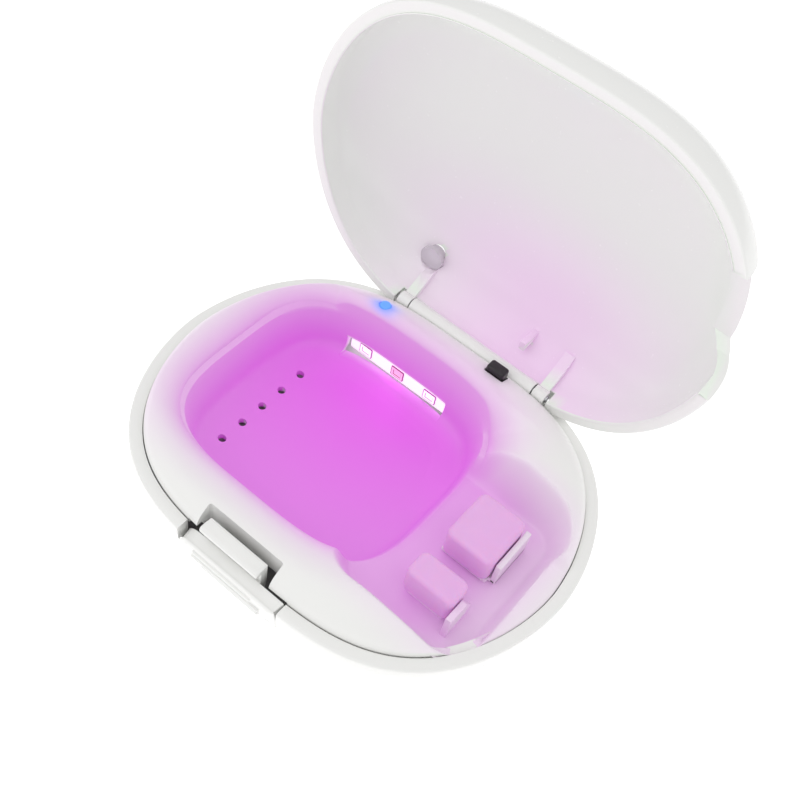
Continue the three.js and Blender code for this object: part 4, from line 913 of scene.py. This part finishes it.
# The clear window is a disc under the dome with a boss that fills the hole.
boss_top = lid_height(INDICATOR[0], INDICATOR[1] + BOSS_RADIUS) - 0.1
clear_acrylic = paint("clear_acrylic", "#E9E1EA", 0.16, grain=(0.002, 0.000002, 0.02), IOR=1.49,
                      Transmission_Weight=0.25)
window_rows = [(WINDOW_RADIUS - 0.2, window_top - 1.5), (WINDOW_RADIUS, window_top - 1.4)]
window_rows += [(WINDOW_RADIUS, window_top - 0.4), (WINDOW_RADIUS - 0.15, window_top - 0.3)]
window_rows += [(BOSS_RADIUS, window_top - 0.3), (BOSS_RADIUS, boss_top - 0.1), (BOSS_RADIUS - 0.1, boss_top)]
window = lay("lid_window_disc", turned(window_rows, (*INDICATOR, 0)))
swing_open(window)
finish_piece(window, "lid", "clear_plastic", clear_acrylic, "lid_window")

# ---------------------------------------------------------------- hinge pin and springs
# A ground steel pin with bevelled ends through both mouldings, and a torsion spring each side
# of the knuckle that throws the lid open.
pin_steel = paint("ground_steel_pin", "#C2C4C7", 0.22, grain=(0.0003, 0.000003, 0.05), Metallic=1.0)
pin = lay("hinge_pin_steel", bar(0.75, -20.4, 19.6, HINGE_Y, HINGE_Z, 0.2))
finish_piece(pin, "case", "spring_steel", pin_steel, "hinge_pin")
for side, start, length, wraps in (("left", -16.6, 7.8, 9), ("right", 2.4, 13.4, 14)):
    wire = lay(f"hinge_spring_{side}_wire", coil(1.1, 0.18, length, wraps, (start, HINGE_Y, HINGE_Z), "x"))
    finish_piece(wire, "case", "spring_steel", spring_steel, f"hinge_spring_{side}")

# ---------------------------------------------------------------- case screws and rubber plugs
# Two pan-head steel screws hold the tray from behind, each under a grey-beige rubber plug
# that follows the dome, with a rounded edge.
flush = shell_rows(BASE_DEPTH, 0.1, (np.pi / 2) * np.linspace(0.2, 0.98, 40))[::-1] * (1, 1, -1)
flush_rings = np.stack([case_ring(*row) for row in flush])
flush_dome = skin(flush_rings, (0, 0, 0.1 - BASE_DEPTH), (0, 0, flush[-1][2]))
rubber = paint("grey_beige_rubber", "#B8B5AA", 0.72, cloud=(0.003, 0.06), grain=(0.0004, 0.00002, 0.08),
               IOR=1.5)
screw_head = [(1.6, -15.6), (2.1, -15.45), (2.3, -15.1), (2.3, -14.75)]
screw_shank = [(0.95, -14.7), (0.95, -10.1), (0.3, -9.6)]
for k, (x, y) in enumerate(PLUGS):
    screw = lay(f"case_screw_{k + 1}_steel", turned(screw_head + screw_shank, (x, y, 0)))
    carve(screw, [soft_block((x - 1.6, y - 0.3, -16.5), (x + 1.6, y + 0.3, -15.2), 0.05, 0.02)])
    finish_piece(screw, "case", "screw_steel", pin_steel, f"case_screw_{k + 1}")
    plug = lay(f"rubber_plug_{k + 1}_cap", turned([(3.5, -19.5), (3.5, -15.9), (3.3, -15.7)], (x, y, 0)))
    carve(plug, [flush_dome], "INTERSECT")
    edge = plug.modifiers.new("soft_edge", "BEVEL")
    edge.width, edge.segments, edge.angle_limit = 0.00018, 3, math.radians(50)
    finish_piece(plug, "case", "grey_rubber", rubber, f"rubber_plug_{k + 1}")

# ---------------------------------------------------------------- wall bracket
# A square white ABS bracket with round corners. Its back is recessed for the adhesive pad; its
# front has two lipped rails with an end stop that the case slides onto, and a rubber bumper.
BRACKET_HIGH, BRACKET_LOW, LIP_HIGH, LIP_LOW = -22.8, -25.3, -20.1, -21.1
RAIL_ROOT = BRACKET_HIGH - 0.5
under_side = [(2.35, -24.4), (2.2, -24.5), (2.2, -25.15), (2.05, BRACKET_LOW), (0.7, BRACKET_LOW)]
under_side += [(drop, BRACKET_LOW + run) for run, drop in fillet(0.7)]
top_side = [(run, BRACKET_HIGH - drop) for run, drop in fillet(0.7)]
bracket = lay("wall_bracket_moulding", stack(under_side + top_side, 22.5, 24.5, 5.0, (0, 0, 0)))
rails = []
for side in (-1, 1):
    across_wall = sorted((side * 13.3, side * 15.3))
    across_lip = sorted((side * 9.8, side * 15.3))
    rails.append(soft_block((-16, across_wall[0], RAIL_ROOT), (18, across_wall[1], LIP_HIGH), 0.4, 0.2))
    rails.append(soft_block((-16, across_lip[0], LIP_LOW), (18, across_lip[1], LIP_HIGH), 0.4, 0.2))
rails.append(soft_block((16.3, -15.3, RAIL_ROOT), (18, 15.3, LIP_HIGH), 0.4, 0.2))
rails.append(soft_block((-12.4, -24.5, RAIL_ROOT), (-10, -20.5, LIP_HIGH), 0.3, 0.2))
carve(bracket, rails, "UNION")
finish_piece(bracket, "bracket", "white_abs", gloss_abs, "wall_bracket")
black_rubber = paint("black_bumper_rubber", "#1D1B1E", 0.6, grain=(0.0005, 0.000015, 0.08), IOR=1.5)
bumper = lay("bracket_bumper_block", soft_block((-9.7, -23.9, -22.7), (-2.5, -21.3, -20.5), 0.3, 0.25))
finish_piece(bumper, "bracket", "black_rubber", black_rubber, "bracket_bumper")

# Closed-cell foam tape in the recess, charcoal and dead matte with cells about 0.4 mm across,
# under a thin glossy red liner with a pull tab, its corners cut round.
foam = paint("charcoal_closed_cell_foam", "#2A2628", 0.93, cloud=(0.0012, 0.18),
             grain=(0.0004, 0.00006, 0.05))
foam_pad = lay("adhesive_pad_foam", soft_block((-20, -22, -25.6), (20, 22, -24.6), 2.5, 0.12))
finish_piece(foam_pad, "bracket", "black_foam", foam, "adhesive_pad")
film = paint("glossy_red_liner_film", "#9B282B", 0.26, cloud=(0.012, 0.1), grain=(0.004, 0.00005, 0.05),
             IOR=1.5, Coat_Weight=0.5, Coat_Roughness=0.12)
liner = lay("release_liner_film", soft_block((-20.3, -22.3, -26), (20.3, 22.3, -25.7), 2.5, 0.08))
carve(liner, [soft_block((16.3, -7, -26), (27.3, 7, -25.7), 3, 0.08)], "UNION")
finish_piece(liner, "bracket", "red_film", film, "release_liner")
